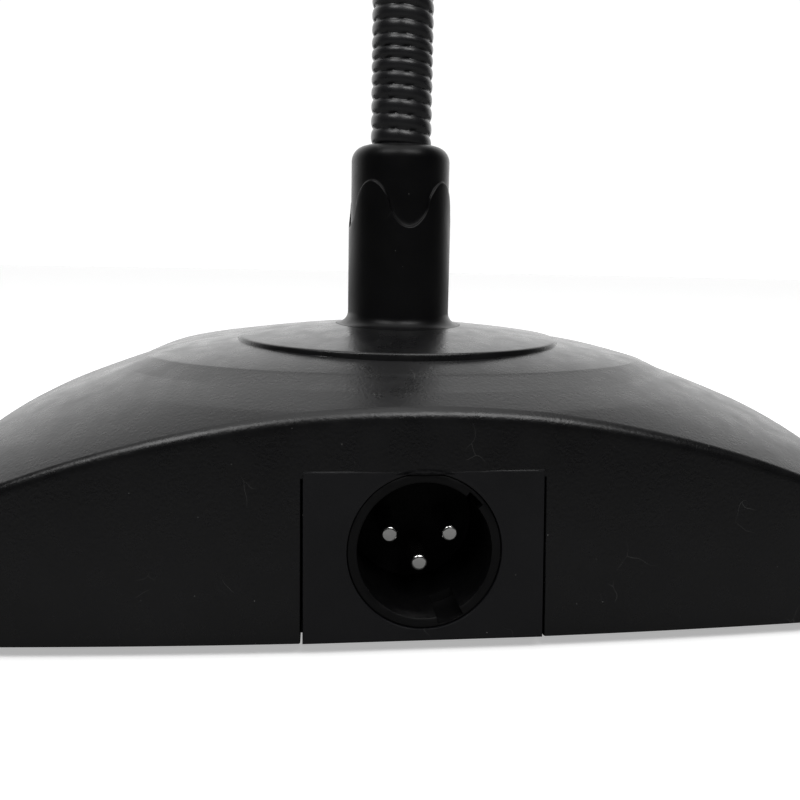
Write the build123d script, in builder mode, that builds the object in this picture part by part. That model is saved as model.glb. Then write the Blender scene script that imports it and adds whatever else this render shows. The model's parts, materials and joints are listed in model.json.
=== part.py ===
from build123d import *
from math import cos, pi, radians, sin, sqrt, tan
import os

# Gooseneck podium microphone: a ballasted desk base, a two-section gooseneck and a condenser head.
# Millimetres, +Z up. The speaker's side faces -Y and the connector wall faces +Y.
# The origin is on the table, at the centre of the base's footprint.

os.makedirs("parts", exist_ok=True)

# ---------------------------------------------------------------- driving dimensions
# Base outline and walls
base_length = 150.0
base_width = 127.0
rear_bow_radius = 700.0
front_bow_radius = 150.0
rear_corner_radius = 16.0
front_corner_radius = 42.0
wall_draft = 6.0
side_wall = 2.8
roof_drop = 3.0
foot_proud = 1.5

# Dome over the base, as height above the rim against distance to the side of the neck
neck_setback = 35.25
dome_crown = ((0.0, 35.2), (12.0, 34.75), (24.0, 33.25), (33.4, 31.65))
dome_skirt = ((38.4, 29.55), (45.0, 27.8), (52.0, 25.2), (60.0, 21.8), (70.0, 16.8), (84.0, 8.0))
dome_floor = -8.0
dome_rear_ratio = 0.72
dome_front_ratio = 1.434
dome_tilt = 1.0
shoulder_radius = 20.5
shoulder_slope = 22.0
shoulder_crown = 46.4

# Upper terrace, a thin disc round the neck
terrace_radius = 22.4
terrace_step_run = 0.6
terrace_edge_height = 34.05
terrace_step = 0.8
terrace_crown = 35.9
terrace_ratio = 0.9
terrace_tilt = 2.5
terrace_end_slope = -0.14

# Neck boot
boot_radius = 7.65
boot_top_radius = 7.3
boot_flare = 1.8
boot_foot_height = 1.7
boot_seat_height = 33.6
boot_wave_low = 49.7
boot_wave_high = 56.2
boot_wave_turn = 4.5
boot_height = 61.6
boot_top_rounding = 2.2
boot_clearance = 0.05

# Bottom plate, ballast, feet and their screws
plate_thickness = 1.5
plate_clearance = 0.6
ballast_size = (92.0, 74.0, 8.0)
ballast_centre_y = -12.0
foot_radius = 7.0
screw_shank_radius = 1.4
screw_head_radius = 2.8
screw_head_height = 1.2
screw_slot_depth = 0.7
screw_fit = 0.03
boss_radius = 3.5
boss_screw_depth = 8.0
ballast_screw_depth = 6.0
rear_boss = (50.0, 58.0)
middle_boss = (54.0, -5.0)
front_boss = (34.0, -58.0)
rear_foot = (46.0, 44.0)
front_foot = (48.0, -34.0)
ballast_screw_spacing = (80.0, 60.0)

# Rear connector: a three-pin male inlet on its own panel
panel_width = 29.0
panel_height = 20.5
panel_gap = 0.25
flange_margin = 2.5
flange_thickness = 2.0
flange_gap = 0.3
flange_rise = 2.9
rib_thickness = 2.0
rib_lip = 3.0
inlet_height = 10.83
inlet_bore_radius = 8.1
inlet_wall = 1.15
inlet_length = 17.5
insert_depth = 13.5
key_angle = 45.0
key_width = 2.1
key_reach = 8.75
latch_width = 3.0
latch_length = 6.0
latch_angle = -69.0
pin_radius = 1.2
pin_tip_depth = 4.7
pin_spacing = 7.62
pin_pair_rise = 0.6
pin_row_gap = 3.75
pin_tail_radius = 0.9
pin_tail_length = 3.5

# Electronics
board_size = (70.0, 38.0, 1.6)
board_centre_y = -4.0
standoff_height = 4.0
standoff_radius = 2.6
standoff_spacing = (60.0, 28.0)
terminal_size = (24.0, 7.0, 8.0)
terminal_setback = 4.0
transformer_size = (18.0, 15.0, 9.0)
transformer_centre = (-22.0, -3.0)
capacitor_radius = 3.0
capacitor_height = 8.0
capacitor_spots = ((16.0, 4.0), (24.0, 4.0), (16.0, -6.0), (24.0, -6.0))
chip_size = (9.0, 6.0, 1.8)
chip_spots = ((-4.0, 2.0), (-4.0, -7.0))
wire_radius = 0.6
wire_bend = 3.0
neck_lead_radius = 1.2
neck_lead_bend = 5.0
status_light_y = -18.0
status_light_radius = 1.55
status_light_proud = 0.5
status_led_size = (3.2, 1.6, 1.0)

# Talk button, set square to the dome in front of the neck
button_y = -38.0
bezel_radius = 10.5
bezel_seat_depth = 1.0
bezel_height = 1.2
bezel_bore = 8.0
barrel_radius = 9.2
barrel_length = 7.5
button_radius = 7.7
button_proud = 2.6
button_travel = 1.5
button_crown_height = 2.2
button_stem_radius = 1.5
button_nut_thickness = 2.4
button_nut_width = 23.0
switch_size = (14.0, 14.0, 5.5)
switch_floor = 1.0
spring_coil_radius = 3.4
spring_wire_radius = 0.3
spring_pitch = 1.3
part_gap = 0.3

# Neck mounting below the dome
spigot_radius = 3.9
spigot_bore = 2.2
spigot_head_radius = 4.6
bush_bore = 4.0
bush_radius = 5.6
bush_spigot_radius = 5.0
bush_height = 50.0
nut_seat_radius = 9.5
nut_seat_height = 29.0
washer_radius = 7.5
washer_thickness = 1.2
neck_nut_width = 13.0
neck_nut_thickness = 4.0
spigot_tail = 1.0

# Gooseneck: each flexible section is a row of links with ball and socket ends
neck_radius = 4.5
neck_bore = 2.2
link_ball_radius = 5.0
link_gap = 0.2
link_pitch = 13.0
joints_per_section = 6
first_joint_rise = 8.0
middle_length = 150.0
lower_lean = 6.0
upper_lean = 42.0
ferrule_radius = 5.4
ferrule_length = 14.0
ferrule_setback = 4.0
neck_lead_in_tube = 1.5

# Head, as distances along its axis from the last neck joint
head_stem_radius = 6.0
head_stem_end = 12.0
head_bore = 2.2
ring_radius = 6.8
ring_end = 16.0
mic_radius = 6.5
mic_wall = 1.0
mic_body_end = 40.0
grille_end = 60.0
grille_wall = 0.6
capsule_radius = 4.6
capsule_start = 46.0
capsule_end = 52.0
holder_wall = 0.9
foam_radius = 12.5
foam_start = 31.0
foam_end = 80.0
foam_clearance = 0.35

# ---------------------------------------------------------------- worked out from the above
rim_z = foot_proud
neck_y = base_length / 2 - neck_setback
plate_top = rim_z + plate_thickness
ballast_top = plate_top + ballast_size[2]
board_bottom = ballast_top + standoff_height
board_top = board_bottom + board_size[2]
blank_height = 48.0
link_socket_radius = link_ball_radius + link_gap
fine = 0.4


def put_out(piece, name):
    """Label one finished sub-part and write its STEP file."""
    piece.label = name
    export_step(piece, "parts/" + name + ".step")


def bow_sag(radius, half_chord):
    """How far an arc of this radius falls away over half its chord."""
    return radius - sqrt(radius**2 - half_chord**2)


def footprint(inset):
    """The base's outline, set in by a margin."""
    half_width = base_width / 2 - inset
    rear_apex = base_length / 2 - inset
    rear_side = rear_apex - bow_sag(rear_bow_radius - inset, half_width)
    front_side = -rear_apex + bow_sag(front_bow_radius - inset, half_width)
    with BuildSketch() as outline:
        with BuildLine():
            ThreePointArc((half_width, rear_side), (0, rear_apex), (-half_width, rear_side))
            Line((-half_width, rear_side), (-half_width, front_side))
            ThreePointArc((-half_width, front_side), (0, -rear_apex), (half_width, front_side))
            Line((half_width, front_side), (half_width, rear_side))
        make_face()
        fillet(outline.vertices().group_by(Axis.Y)[-1], rear_corner_radius - inset)
        fillet(outline.vertices().group_by(Axis.Y)[0], front_corner_radius - inset)
    return outline.sketch


def side_section(inset):
    """The base's section across its length, which rounds its long shoulders."""
    half_width = base_width / 2 - inset
    crown = rim_z + shoulder_crown - inset / cos(radians(shoulder_slope))
    fall = tan(radians(shoulder_slope))
    lean = tan(radians(wall_draft))
    corner_rise = (crown - rim_z - half_width * fall) / (1 - lean * fall)
    corner = (half_width - lean * corner_rise, rim_z + corner_rise)
    with BuildSketch() as section:
        with BuildLine():
            Polyline(
                (-half_width, rim_z),
                (half_width, rim_z),
                corner,
                (0, crown),
                (-corner[0], corner[1]),
                (-half_width, rim_z),
            )
        make_face()
        shoulders = section.vertices().filter_by_position(Axis.Y, corner[1] - fine, corner[1] + fine)
        fillet(shoulders, shoulder_radius - inset)
    return section.sketch


def half_dome(arc, stretch):
    """One half of the dome, stretched towards the rear or the front of the base."""
    with BuildPart() as half:
        with BuildSketch(Plane.XZ):
            with BuildLine():
                Spline(*dome_crown)
                Line(dome_crown[-1], dome_skirt[0])
                Spline(*dome_skirt)
                Polyline(
                    dome_skirt[-1],
                    (dome_skirt[-1][0], dome_floor),
                    (0, dome_floor),
                    dome_crown[0],
                )
            make_face()
        revolve(axis=Axis.Z, revolution_arc=arc)
        scale(by=(1, stretch, 1))
    return half.part


with BuildPart() as dome:
    add(half_dome(180, dome_rear_ratio))
    add(half_dome(-180, dome_front_ratio))


def base_body(inset, drop):
    """The base as a solid block under its dome, set in by a wall and lowered by a roof."""
    with BuildPart() as body:
        with BuildSketch(Plane.XY.offset(rim_z)):
            add(footprint(inset))
        extrude(amount=blank_height, taper=wall_draft)
        with BuildSketch(Plane.XZ.offset(-base_length)):
            add(side_section(inset))
        extrude(amount=2 * base_length, mode=Mode.INTERSECT)
        with Locations((0, neck_y, rim_z - drop)):
            add(dome.part, rotation=(-dome_tilt, 0, 0), mode=Mode.INTERSECT)
    return body.part


def surface_plane(body, y):
    """The plane that lies on the dome above the base's centre line, facing outwards."""
    hits = body.find_intersection_points(Axis((0, y, 4 * blank_height), (0, 0, -1)))
    point, normal = max(hits, key=lambda hit: hit[0].Z)
    if normal.Z < 0:
        normal = normal * -1
    return Plane(origin=point, x_dir=(1, 0, 0), z_dir=normal)


base_outside = base_body(0, 0)
button_plane = surface_plane(base_outside, button_y)
light_plane = surface_plane(base_outside, status_light_y)

# The rear wall leans forwards: local X runs to the wall's right, Y up the wall, Z out of it.
lean = radians(wall_draft)
rear_plane = Plane(
    origin=(0, base_length / 2, rim_z),
    x_dir=(-1, 0, 0),
    z_dir=(0, cos(lean), sin(lean)),
)
# The connector itself is level, so its plug goes in level.
inlet_plane = Plane(
    origin=rear_plane.from_local_coords((0, inlet_height, 0)),
    x_dir=(-1, 0, 0),
    z_dir=(0, 1, 0),
)
wall_normal = side_wall * cos(lean)

boss_spots = []
for spot_x, spot_y in (rear_boss, middle_boss, front_boss):
    boss_spots += [(spot_x, spot_y), (-spot_x, spot_y)]
neck_foot = Vector(0, neck_y, rim_z)
spigot_bottom = nut_seat_height - washer_thickness - neck_nut_thickness - spigot_tail

# ---------------------------------------------------------------- base cover
flange_half = panel_width / 2 + flange_margin
flange_top = panel_height + flange_margin
flange_back = wall_normal + flange_gap + flange_thickness

with BuildPart() as panel_ribs:
    for side in (-1, 1):
        rib_x = side * (flange_half + panel_gap + rib_thickness / 2)
        lip_x = side * (flange_half + panel_gap - rib_lip / 2)
        with Locations(rear_plane.location):
            with Locations((rib_x, flange_rise + flange_top / 2, -wall_normal / 2)):
                Box(rib_thickness, flange_top, 2 * flange_back + 2 * rib_thickness - wall_normal)
            with Locations((lip_x, flange_rise + flange_top / 2, -flange_back - panel_gap)):
                Box(rib_lip, flange_top, rib_thickness, align=(Align.CENTER, Align.CENTER, Align.MAX))

with BuildPart() as cavity:
    add(base_body(side_wall, roof_drop))
    with BuildSketch(Plane.XY.offset(plate_top)):
        with Locations(*boss_spots):
            Circle(boss_radius)
    extrude(amount=blank_height, mode=Mode.SUBTRACT)
    with BuildSketch(Plane.XY.offset(rim_z + nut_seat_height)):
        with Locations((0, neck_y)):
            Circle(nut_seat_radius)
    extrude(amount=blank_height, mode=Mode.SUBTRACT)
    add(panel_ribs.part, mode=Mode.SUBTRACT)

with BuildPart() as terrace:
    edge_radius = terrace_radius + terrace_step_run
    with BuildSketch(Plane.XZ):
        with BuildLine():
            Spline(
                (0, terrace_crown),
                (terrace_radius, terrace_edge_height),
                tangents=((1, 0), (1, terrace_end_slope)),
            )
            Polyline(
                (terrace_radius, terrace_edge_height),
                (edge_radius, terrace_edge_height - terrace_step),
                (edge_radius + fine, terrace_edge_height - 4 * terrace_step),
                (0, terrace_edge_height - 4 * terrace_step),
                (0, terrace_crown),
            )
        make_face()
    revolve(axis=Axis.Z)
    scale(by=(1, terrace_ratio, 1))

with BuildPart() as base_cover:
    add(base_outside)
    with Locations(neck_foot):
        add(terrace.part, rotation=(-terrace_tilt, 0, 0))
    add(cavity.part, mode=Mode.SUBTRACT)
    # Seat for the boot's flared foot, and the hole for the bush that carries the neck
    with BuildSketch(Plane.XY.offset(rim_z + boot_seat_height)):
        with Locations((0, neck_y)):
            Circle(boot_radius + boot_flare + boot_clearance)
    extrude(amount=blank_height, mode=Mode.SUBTRACT)
    with BuildSketch(Plane.XY.offset(rim_z)):
        with Locations((0, neck_y)):
            Circle(bush_spigot_radius + boot_clearance)
    extrude(amount=blank_height, mode=Mode.SUBTRACT)
    # Opening for the connector panel, open at the rim
    with BuildSketch(rear_plane.offset(fine)):
        with Locations((0, panel_height / 2 - fine)):
            Rectangle(panel_width + 2 * panel_gap, panel_height + 2 * (panel_gap + fine))
    extrude(amount=-wall_normal - 2 * fine, mode=Mode.SUBTRACT)
    # Screw holes in the corner bosses
    with BuildSketch(Plane.XY.offset(rim_z)):
        with Locations(*boss_spots):
            Circle(screw_shank_radius + screw_fit)
    extrude(amount=plate_thickness + boss_screw_depth + fine, mode=Mode.SUBTRACT)
    # Seat and hole for the talk button, and the hole for its light
    with BuildSketch(button_plane.offset(-bezel_seat_depth)):
        Circle(bezel_radius + boot_clearance)
    extrude(amount=2 * bezel_seat_depth, mode=Mode.SUBTRACT)
    with BuildSketch(button_plane):
        Circle(barrel_radius + boot_clearance)
    extrude(amount=-4 * roof_drop, mode=Mode.SUBTRACT)
    with BuildSketch(Plane.XY.offset(board_top)):
        with Locations((0, status_light_y)):
            Circle(status_light_radius + boot_clearance)
    extrude(amount=blank_height, mode=Mode.SUBTRACT)
put_out(base_cover.part, "base_cover")

# ---------------------------------------------------------------- neck boot
with BuildPart() as boot_wave:
    # Everything above a wave with four crests, as seen square on from two sides
    wave_middle = (boot_wave_low + boot_wave_high) / 2
    wave_swing = (boot_wave_high - boot_wave_low) / 2
    wave = []
    for step in range(-4, 5):
        angle = radians(45 * step / 4)
        wave.append((boot_radius * sin(angle), wave_middle - wave_swing * cos(4 * angle)))
    for face_plane in (Plane.XZ, Plane.YZ):
        with BuildSketch(face_plane):
            with BuildLine():
                Spline(*wave)
                Polyline(wave[-1], (wave[-1][0], boot_height + 1), (wave[0][0], boot_height + 1), wave[0])
            make_face()
        extrude(amount=boot_radius + fine, both=True)

with BuildPart() as neck_boot:
    with BuildSketch(Plane.XZ):
        with BuildLine():
            foot_top = boot_seat_height + boot_foot_height
            flare_middle = boot_flare * (1 - cos(pi / 4))
            Polyline(
                (boot_radius, foot_top + boot_flare),
                (boot_radius, boot_height),
                (neck_radius + part_gap, boot_height),
                (neck_radius + part_gap, bush_height + boot_clearance),
                (bush_radius + boot_clearance, bush_height + boot_clearance),
                (bush_radius + boot_clearance, boot_seat_height),
                (boot_radius + boot_flare, boot_seat_height),
                (boot_radius + boot_flare, foot_top),
            )
            ThreePointArc(
                (boot_radius + boot_flare, foot_top),
                (boot_radius + flare_middle, foot_top + flare_middle),
                (boot_radius, foot_top + boot_flare),
            )
        make_face()
    revolve(axis=Axis.Z)
    # The upper stretch is a little slimmer, down to the wavy edge
    with BuildSketch(Plane.XY.offset(boot_wave_low)):
        Circle(boot_radius + fine)
        Circle(boot_top_radius, mode=Mode.SUBTRACT)
    slim_ring = extrude(amount=boot_height - boot_wave_low, mode=Mode.PRIVATE)
    add(slim_ring & boot_wave.part.rotate(Axis.Z, boot_wave_turn), mode=Mode.SUBTRACT)
    mouth_edges = neck_boot.edges().filter_by(GeomType.CIRCLE).group_by(Axis.Z)[-1]
    fillet(mouth_edges.sort_by(SortBy.RADIUS)[-1], boot_top_rounding)
put_out(neck_boot.part.moved(Location(neck_foot)), "neck_boot")

# A shouldered bush through the roof, which the boot is pushed over
with BuildPart() as neck_bush:
    with BuildSketch(Plane.XY.offset(rim_z + nut_seat_height + boot_clearance)):
        with Locations((0, neck_y)):
            Circle(bush_spigot_radius)
    extrude(amount=boot_seat_height - nut_seat_height - boot_clearance)
    with BuildSketch(Plane.XY.offset(rim_z + boot_seat_height)):
        with Locations((0, neck_y)):
            Circle(bush_radius)
    extrude(amount=bush_height - boot_seat_height)
    with BuildSketch(Plane.XY.offset(rim_z)):
        with Locations((0, neck_y)):
            Circle(bush_bore)
    extrude(amount=2 * blank_height, mode=Mode.SUBTRACT)
put_out(neck_bush.part, "neck_bush")

# ---------------------------------------------------------------- underside
with BuildPart() as bottom_plate:
    with BuildSketch(Plane.XY.offset(rim_z)):
        add(footprint(side_wall + plate_clearance))
        with Locations(*boss_spots):
            Circle(screw_shank_radius + screw_fit, mode=Mode.SUBTRACT)
        with Locations((0, ballast_centre_y)):
            with GridLocations(*ballast_screw_spacing, 2, 2):
                Circle(screw_shank_radius + screw_fit, mode=Mode.SUBTRACT)
    extrude(amount=plate_thickness)
put_out(bottom_plate.part, "bottom_plate")

with BuildPart() as ballast_plate:
    with BuildSketch(Plane.XY.offset(plate_top)):
        with Locations((0, ballast_centre_y)):
            RectangleRounded(ballast_size[0], ballast_size[1], 4 * fine)
            with GridLocations(*ballast_screw_spacing, 2, 2):
                Circle(screw_shank_radius + screw_fit, mode=Mode.SUBTRACT)
            with Locations((0, board_centre_y - ballast_centre_y)):
                with GridLocations(*standoff_spacing, 2, 2):
                    Circle(screw_shank_radius + screw_fit, mode=Mode.SUBTRACT)
    extrude(amount=ballast_size[2])
put_out(ballast_plate.part, "ballast_plate")

foot_spots = []
for spot_x, spot_y in (rear_foot, front_foot):
    foot_spots += [(spot_x, spot_y), (-spot_x, spot_y)]
with BuildPart() as rubber_feet:
    with BuildSketch():
        with Locations(*foot_spots):
            Circle(foot_radius)
    extrude(amount=foot_proud)
    fillet(rubber_feet.edges().group_by(Axis.Z)[0], fine)
put_out(rubber_feet.part, "rubber_feet")


def cap_screw(spots, seat, depth, slot):
    """Low round-head screws that point up, with a cross recess in each head."""
    with BuildPart() as screws:
        with BuildSketch(Plane.XY.offset(seat)):
            with Locations(*spots):
                Circle(screw_head_radius)
        extrude(amount=-screw_head_height)
        with BuildSketch(Plane.XY.offset(seat)):
            with Locations(*spots):
                Circle(screw_shank_radius)
        extrude(amount=depth)
        with BuildSketch(Plane.XY.offset(seat - screw_head_height)):
            with Locations(*spots):
                Rectangle(slot, slot / 4)
                Rectangle(slot / 4, slot)
        extrude(amount=screw_slot_depth, mode=Mode.SUBTRACT)
    return screws.part


ballast_spots = []
for side in (-1, 1):
    for end in (-1, 1):
        spot_y = ballast_centre_y + end * ballast_screw_spacing[1] / 2
        ballast_spots.append((side * ballast_screw_spacing[0] / 2, spot_y))
cross = 1.2 * screw_head_radius
put_out(cap_screw(boss_spots, rim_z, plate_thickness + boss_screw_depth, cross), "bottom_screws")
put_out(cap_screw(ballast_spots, rim_z, plate_thickness + ballast_screw_depth, cross), "ballast_screws")

# ---------------------------------------------------------------- rear connector
pin_spots = [
    (-pin_spacing / 2, pin_pair_rise),
    (pin_spacing / 2, pin_pair_rise),
    (0, pin_pair_rise - pin_row_gap),
]
shell_radius = inlet_bore_radius + inlet_wall

with BuildPart() as xlr_panel:
    with BuildSketch(rear_plane):
        with Locations((0, panel_height / 2 - fine)):
            Rectangle(panel_width, panel_height + 2 * fine)
    extrude(amount=-wall_normal - flange_gap)
    with BuildSketch(rear_plane.offset(-wall_normal - flange_gap)):
        with Locations((0, flange_rise + (flange_top - flange_rise) / 2)):
            Rectangle(2 * flange_half, flange_top - flange_rise)
    extrude(amount=-flange_thickness)
    with BuildSketch(inlet_plane):
        Circle(shell_radius + screw_fit)
    extrude(amount=2 * flange_back, both=True, mode=Mode.SUBTRACT)
    with BuildSketch():
        with Locations((0, base_length / 2)):
            Rectangle(panel_width + 1, 4 * side_wall)
    extrude(amount=rim_z, mode=Mode.SUBTRACT)
put_out(xlr_panel.part, "xlr_panel")

with BuildPart() as xlr_shell:
    with BuildSketch(inlet_plane.offset(side_wall)):
        Circle(shell_radius)
        Circle(inlet_bore_radius, mode=Mode.SUBTRACT)
    extrude(amount=-inlet_length - side_wall)
    # Keyway for the plug, and the slot that its latch drops into
    with BuildSketch(inlet_plane.offset(side_wall)):
        with Locations(Location((0, 0), key_angle)):
            with Locations((key_reach - 1, 0)):
                Rectangle(2, key_width)
    extrude(amount=-insert_depth - side_wall, mode=Mode.SUBTRACT)
    with BuildSketch(inlet_plane.offset(side_wall)):
        with Locations(Location((0, 0), latch_angle)):
            with Locations((inlet_bore_radius, 0)):
                Rectangle(inlet_wall, latch_width)
    extrude(amount=-latch_length - side_wall, mode=Mode.SUBTRACT)
    # The rim is cut flush with the leaning panel
    with BuildSketch(rear_plane):
        with Locations((0, inlet_height)):
            Rectangle(4 * shell_radius, 4 * shell_radius)
    extrude(amount=2 * side_wall, mode=Mode.SUBTRACT)
put_out(xlr_shell.part, "xlr_shell")

with BuildPart() as xlr_insert:
    with BuildSketch(inlet_plane.offset(-insert_depth)):
        Circle(inlet_bore_radius - screw_fit)
        with Locations(*pin_spots):
            Circle(pin_radius + screw_fit, mode=Mode.SUBTRACT)
    extrude(amount=insert_depth - inlet_length)
put_out(xlr_insert.part, "xlr_insert")

with BuildPart() as xlr_pins:
    with BuildSketch(inlet_plane.offset(-pin_tip_depth)):
        with Locations(*pin_spots):
            Circle(pin_radius)
    extrude(amount=pin_tip_depth - inlet_length)
    fillet(xlr_pins.faces().sort_by(Axis.Y)[-len(pin_spots):].edges(), 0.8 * pin_radius)
    with BuildSketch(inlet_plane.offset(-inlet_length)):
        with Locations(*pin_spots):
            Circle(pin_tail_radius)
    extrude(amount=-pin_tail_length)
put_out(xlr_pins.part, "xlr_pins")

# ---------------------------------------------------------------- electronics
with BuildPart() as board_standoffs:
    with BuildSketch(Plane.XY.offset(ballast_top)):
        with Locations((0, board_centre_y)):
            with GridLocations(*standoff_spacing, 2, 2):
                RegularPolygon(standoff_radius, 6)
                Circle(screw_shank_radius + screw_fit, mode=Mode.SUBTRACT)
    extrude(amount=standoff_height)
put_out(board_standoffs.part, "board_standoffs")

with BuildPart() as circuit_board:
    with BuildSketch(Plane.XY.offset(board_bottom)):
        with Locations((0, board_centre_y)):
            RectangleRounded(board_size[0], board_size[1], 2)
            with GridLocations(*standoff_spacing, 2, 2):
                Circle(screw_shank_radius + screw_fit, mode=Mode.SUBTRACT)
    extrude(amount=board_size[2])
put_out(circuit_board.part, "circuit_board")

with BuildPart() as board_screws:
    with BuildSketch(Plane.XY.offset(board_top)):
        with Locations((0, board_centre_y)):
            with GridLocations(*standoff_spacing, 2, 2):
                Circle(screw_head_radius)
    extrude(amount=screw_head_height)
    with BuildSketch(Plane.XY.offset(board_top)):
        with Locations((0, board_centre_y)):
            with GridLocations(*standoff_spacing, 2, 2):
                Circle(screw_shank_radius)
    extrude(amount=-board_size[2] - standoff_height - ballast_screw_depth)
put_out(board_screws.part, "board_screws")

with BuildPart() as board_capacitors:
    with BuildSketch(Plane.XY.offset(board_top)):
        with Locations((0, board_centre_y)):
            with Locations(*capacitor_spots):
                Circle(capacitor_radius)
    extrude(amount=capacitor_height)
    fillet(board_capacitors.edges().group_by(Axis.Z)[-1], fine)
put_out(board_capacitors.part, "board_capacitors")

with BuildPart() as board_chips:
    with BuildSketch(Plane.XY.offset(board_top)):
        with Locations((0, board_centre_y)):
            with Locations(*chip_spots):
                Rectangle(chip_size[0], chip_size[1])
    extrude(amount=chip_size[2])
put_out(board_chips.part, "board_chips")

with BuildPart() as output_transformer:
    with BuildSketch(Plane.XY.offset(board_top)):
        with Locations((transformer_centre[0], transformer_centre[1] + board_centre_y)):
            RectangleRounded(transformer_size[0], transformer_size[1], 1.5)
    extrude(amount=transformer_size[2])
    fillet(output_transformer.edges().group_by(Axis.Z)[-1], 2 * fine)
put_out(output_transformer.part, "output_transformer")

terminal_y = board_centre_y + board_size[1] / 2 - terminal_setback - terminal_size[1] / 2
terminal_rear = terminal_y + terminal_size[1] / 2
with BuildPart() as terminal_block:
    with BuildSketch(Plane.XY.offset(board_top)):
        with Locations((0, terminal_y)):
            Rectangle(terminal_size[0], terminal_size[1])
    extrude(amount=terminal_size[2])
put_out(terminal_block.part, "terminal_block")

with BuildPart() as status_led:
    with BuildSketch(Plane.XY.offset(board_top)):
        with Locations((0, status_light_y)):
            Rectangle(status_led_size[0], status_led_size[1])
    extrude(amount=status_led_size[2])
put_out(status_led.part, "status_led")

with BuildPart() as status_light_pipe:
    pipe_bottom = board_top + status_led_size[2] + boot_clearance
    with BuildSketch(Plane.XY.offset(pipe_bottom)):
        with Locations((0, status_light_y)):
            Circle(status_light_radius)
    extrude(amount=light_plane.origin.Z + status_light_proud - pipe_bottom)
    fillet(status_light_pipe.edges().group_by(Axis.Z)[-1], status_light_radius / 2)
put_out(status_light_pipe.part, "status_light_pipe")


def round_lead(points, bend, radius):
    """A wire along straight runs joined by arcs."""
    with BuildPart() as lead:
        with BuildLine() as route:
            FilletPolyline(*points, radius=bend)
        with BuildSketch(Plane(origin=route.line @ 0, z_dir=route.line % 0)):
            Circle(radius)
        sweep(path=route.line)
    return lead.part


with BuildPart() as xlr_leads:
    entry_z = board_top + terminal_size[2] / 4
    for pin_x, pin_rise in pin_spots:
        tail = inlet_plane.from_local_coords((pin_x, pin_rise, -inlet_length - pin_tail_length))
        landing_x = -2 * pin_x if pin_x else pin_spacing / 2
        wire_points = [
            tail,
            (tail.X, tail.Y - 3 * wire_bend, tail.Z),
            (landing_x, terminal_rear + 3 * wire_bend, entry_z),
            (landing_x, terminal_rear, entry_z),
        ]
        add(round_lead(wire_points, wire_bend, wire_radius))
put_out(xlr_leads.part, "xlr_leads")

neck_lead_z = board_top + neck_lead_radius + fine
with BuildPart() as neck_lead:
    neck_points = [
        (0, neck_y, rim_z + boot_height - fine),
        (0, neck_y, neck_lead_z),
        (0, terminal_rear, neck_lead_z),
    ]
    add(round_lead(neck_points, neck_lead_bend, neck_lead_radius))
put_out(neck_lead.part, "neck_lead")

# ---------------------------------------------------------------- talk button
with BuildPart() as button_bezel:
    with BuildSketch(button_plane.offset(-bezel_seat_depth)):
        Circle(bezel_radius)
        Circle(bezel_bore, mode=Mode.SUBTRACT)
    extrude(amount=bezel_seat_depth + bezel_height)
    bezel_axis = Axis(button_plane.origin, button_plane.z_dir)
    fillet(button_bezel.edges().filter_by(GeomType.CIRCLE).sort_by(bezel_axis)[-2:], fine)
    with BuildSketch(button_plane.offset(-bezel_seat_depth)):
        Circle(barrel_radius)
        Circle(bezel_bore, mode=Mode.SUBTRACT)
    extrude(amount=bezel_seat_depth - barrel_length)
put_out(button_bezel.part, "button_bezel")

with BuildPart() as button_nut:
    with BuildSketch(button_plane.offset(-roof_drop - 2 * fine)):
        RegularPolygon(button_nut_width / 2, 6, major_radius=False)
        Circle(barrel_radius + screw_fit, mode=Mode.SUBTRACT)
    extrude(amount=-button_nut_thickness)
put_out(button_nut.part, "button_nut")

with BuildPart() as switch_body:
    with BuildSketch(button_plane.offset(-barrel_length)):
        RectangleRounded(switch_size[0] + 2 * switch_floor, switch_size[1] + 2 * switch_floor, 1)
    extrude(amount=-switch_size[2])
    with BuildSketch(button_plane.offset(-barrel_length)):
        Circle(button_stem_radius + part_gap)
    extrude(amount=switch_floor - switch_size[2], mode=Mode.SUBTRACT)
put_out(switch_body.part, "switch_body")

cap_top = bezel_height + button_proud
cap_bottom = cap_top - button_proud - button_crown_height
with BuildPart() as power_button:
    with BuildSketch(button_plane.offset(cap_bottom)):
        Circle(button_radius)
    extrude(amount=cap_top - cap_bottom)
    fillet(power_button.edges().sort_by(bezel_axis)[-1], 2 * fine)
    with Locations(button_plane.offset(cap_top + 4 * button_radius - fine).location):
        Sphere(4 * button_radius, mode=Mode.SUBTRACT)
    with BuildSketch(button_plane.offset(cap_bottom)):
        Circle(button_stem_radius)
    stem_length = cap_bottom + barrel_length + switch_size[2] - switch_floor - button_travel - part_gap
    extrude(amount=-stem_length)
put_out(power_button.part, "power_button")

with BuildPart() as button_spring:
    spring_bottom = -barrel_length + spring_wire_radius
    spring_length = cap_bottom - spring_wire_radius - spring_bottom
    with BuildLine() as coil:
        Helix(spring_pitch, spring_length, spring_coil_radius)
    with BuildSketch(Plane(origin=coil.line @ 0, z_dir=coil.line % 0)):
        Circle(spring_wire_radius)
    sweep(path=coil.line, is_frenet=True)
spring_place = button_plane.offset(spring_bottom).location
put_out(button_spring.part.moved(spring_place), "button_spring")

with BuildPart() as switch_leads:
    lead_out = switch_size[1] / 2 + 1.5 * switch_floor
    lead_depth = barrel_length + switch_size[2] / 2
    for side in (-1, 1):
        start = button_plane.from_local_coords((side * pin_spacing / 2, lead_out, -lead_depth))
        board_front = board_centre_y - board_size[1] / 2 + wire_radius
        lead_points = [
            start,
            (start.X, board_front - 2 * fine, board_top + 2 * wire_radius),
            (start.X, board_front + wire_bend, board_top + wire_radius + fine / 4),
        ]
        add(round_lead(lead_points, wire_bend / 2, wire_radius))
put_out(switch_leads.part, "switch_leads")

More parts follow.
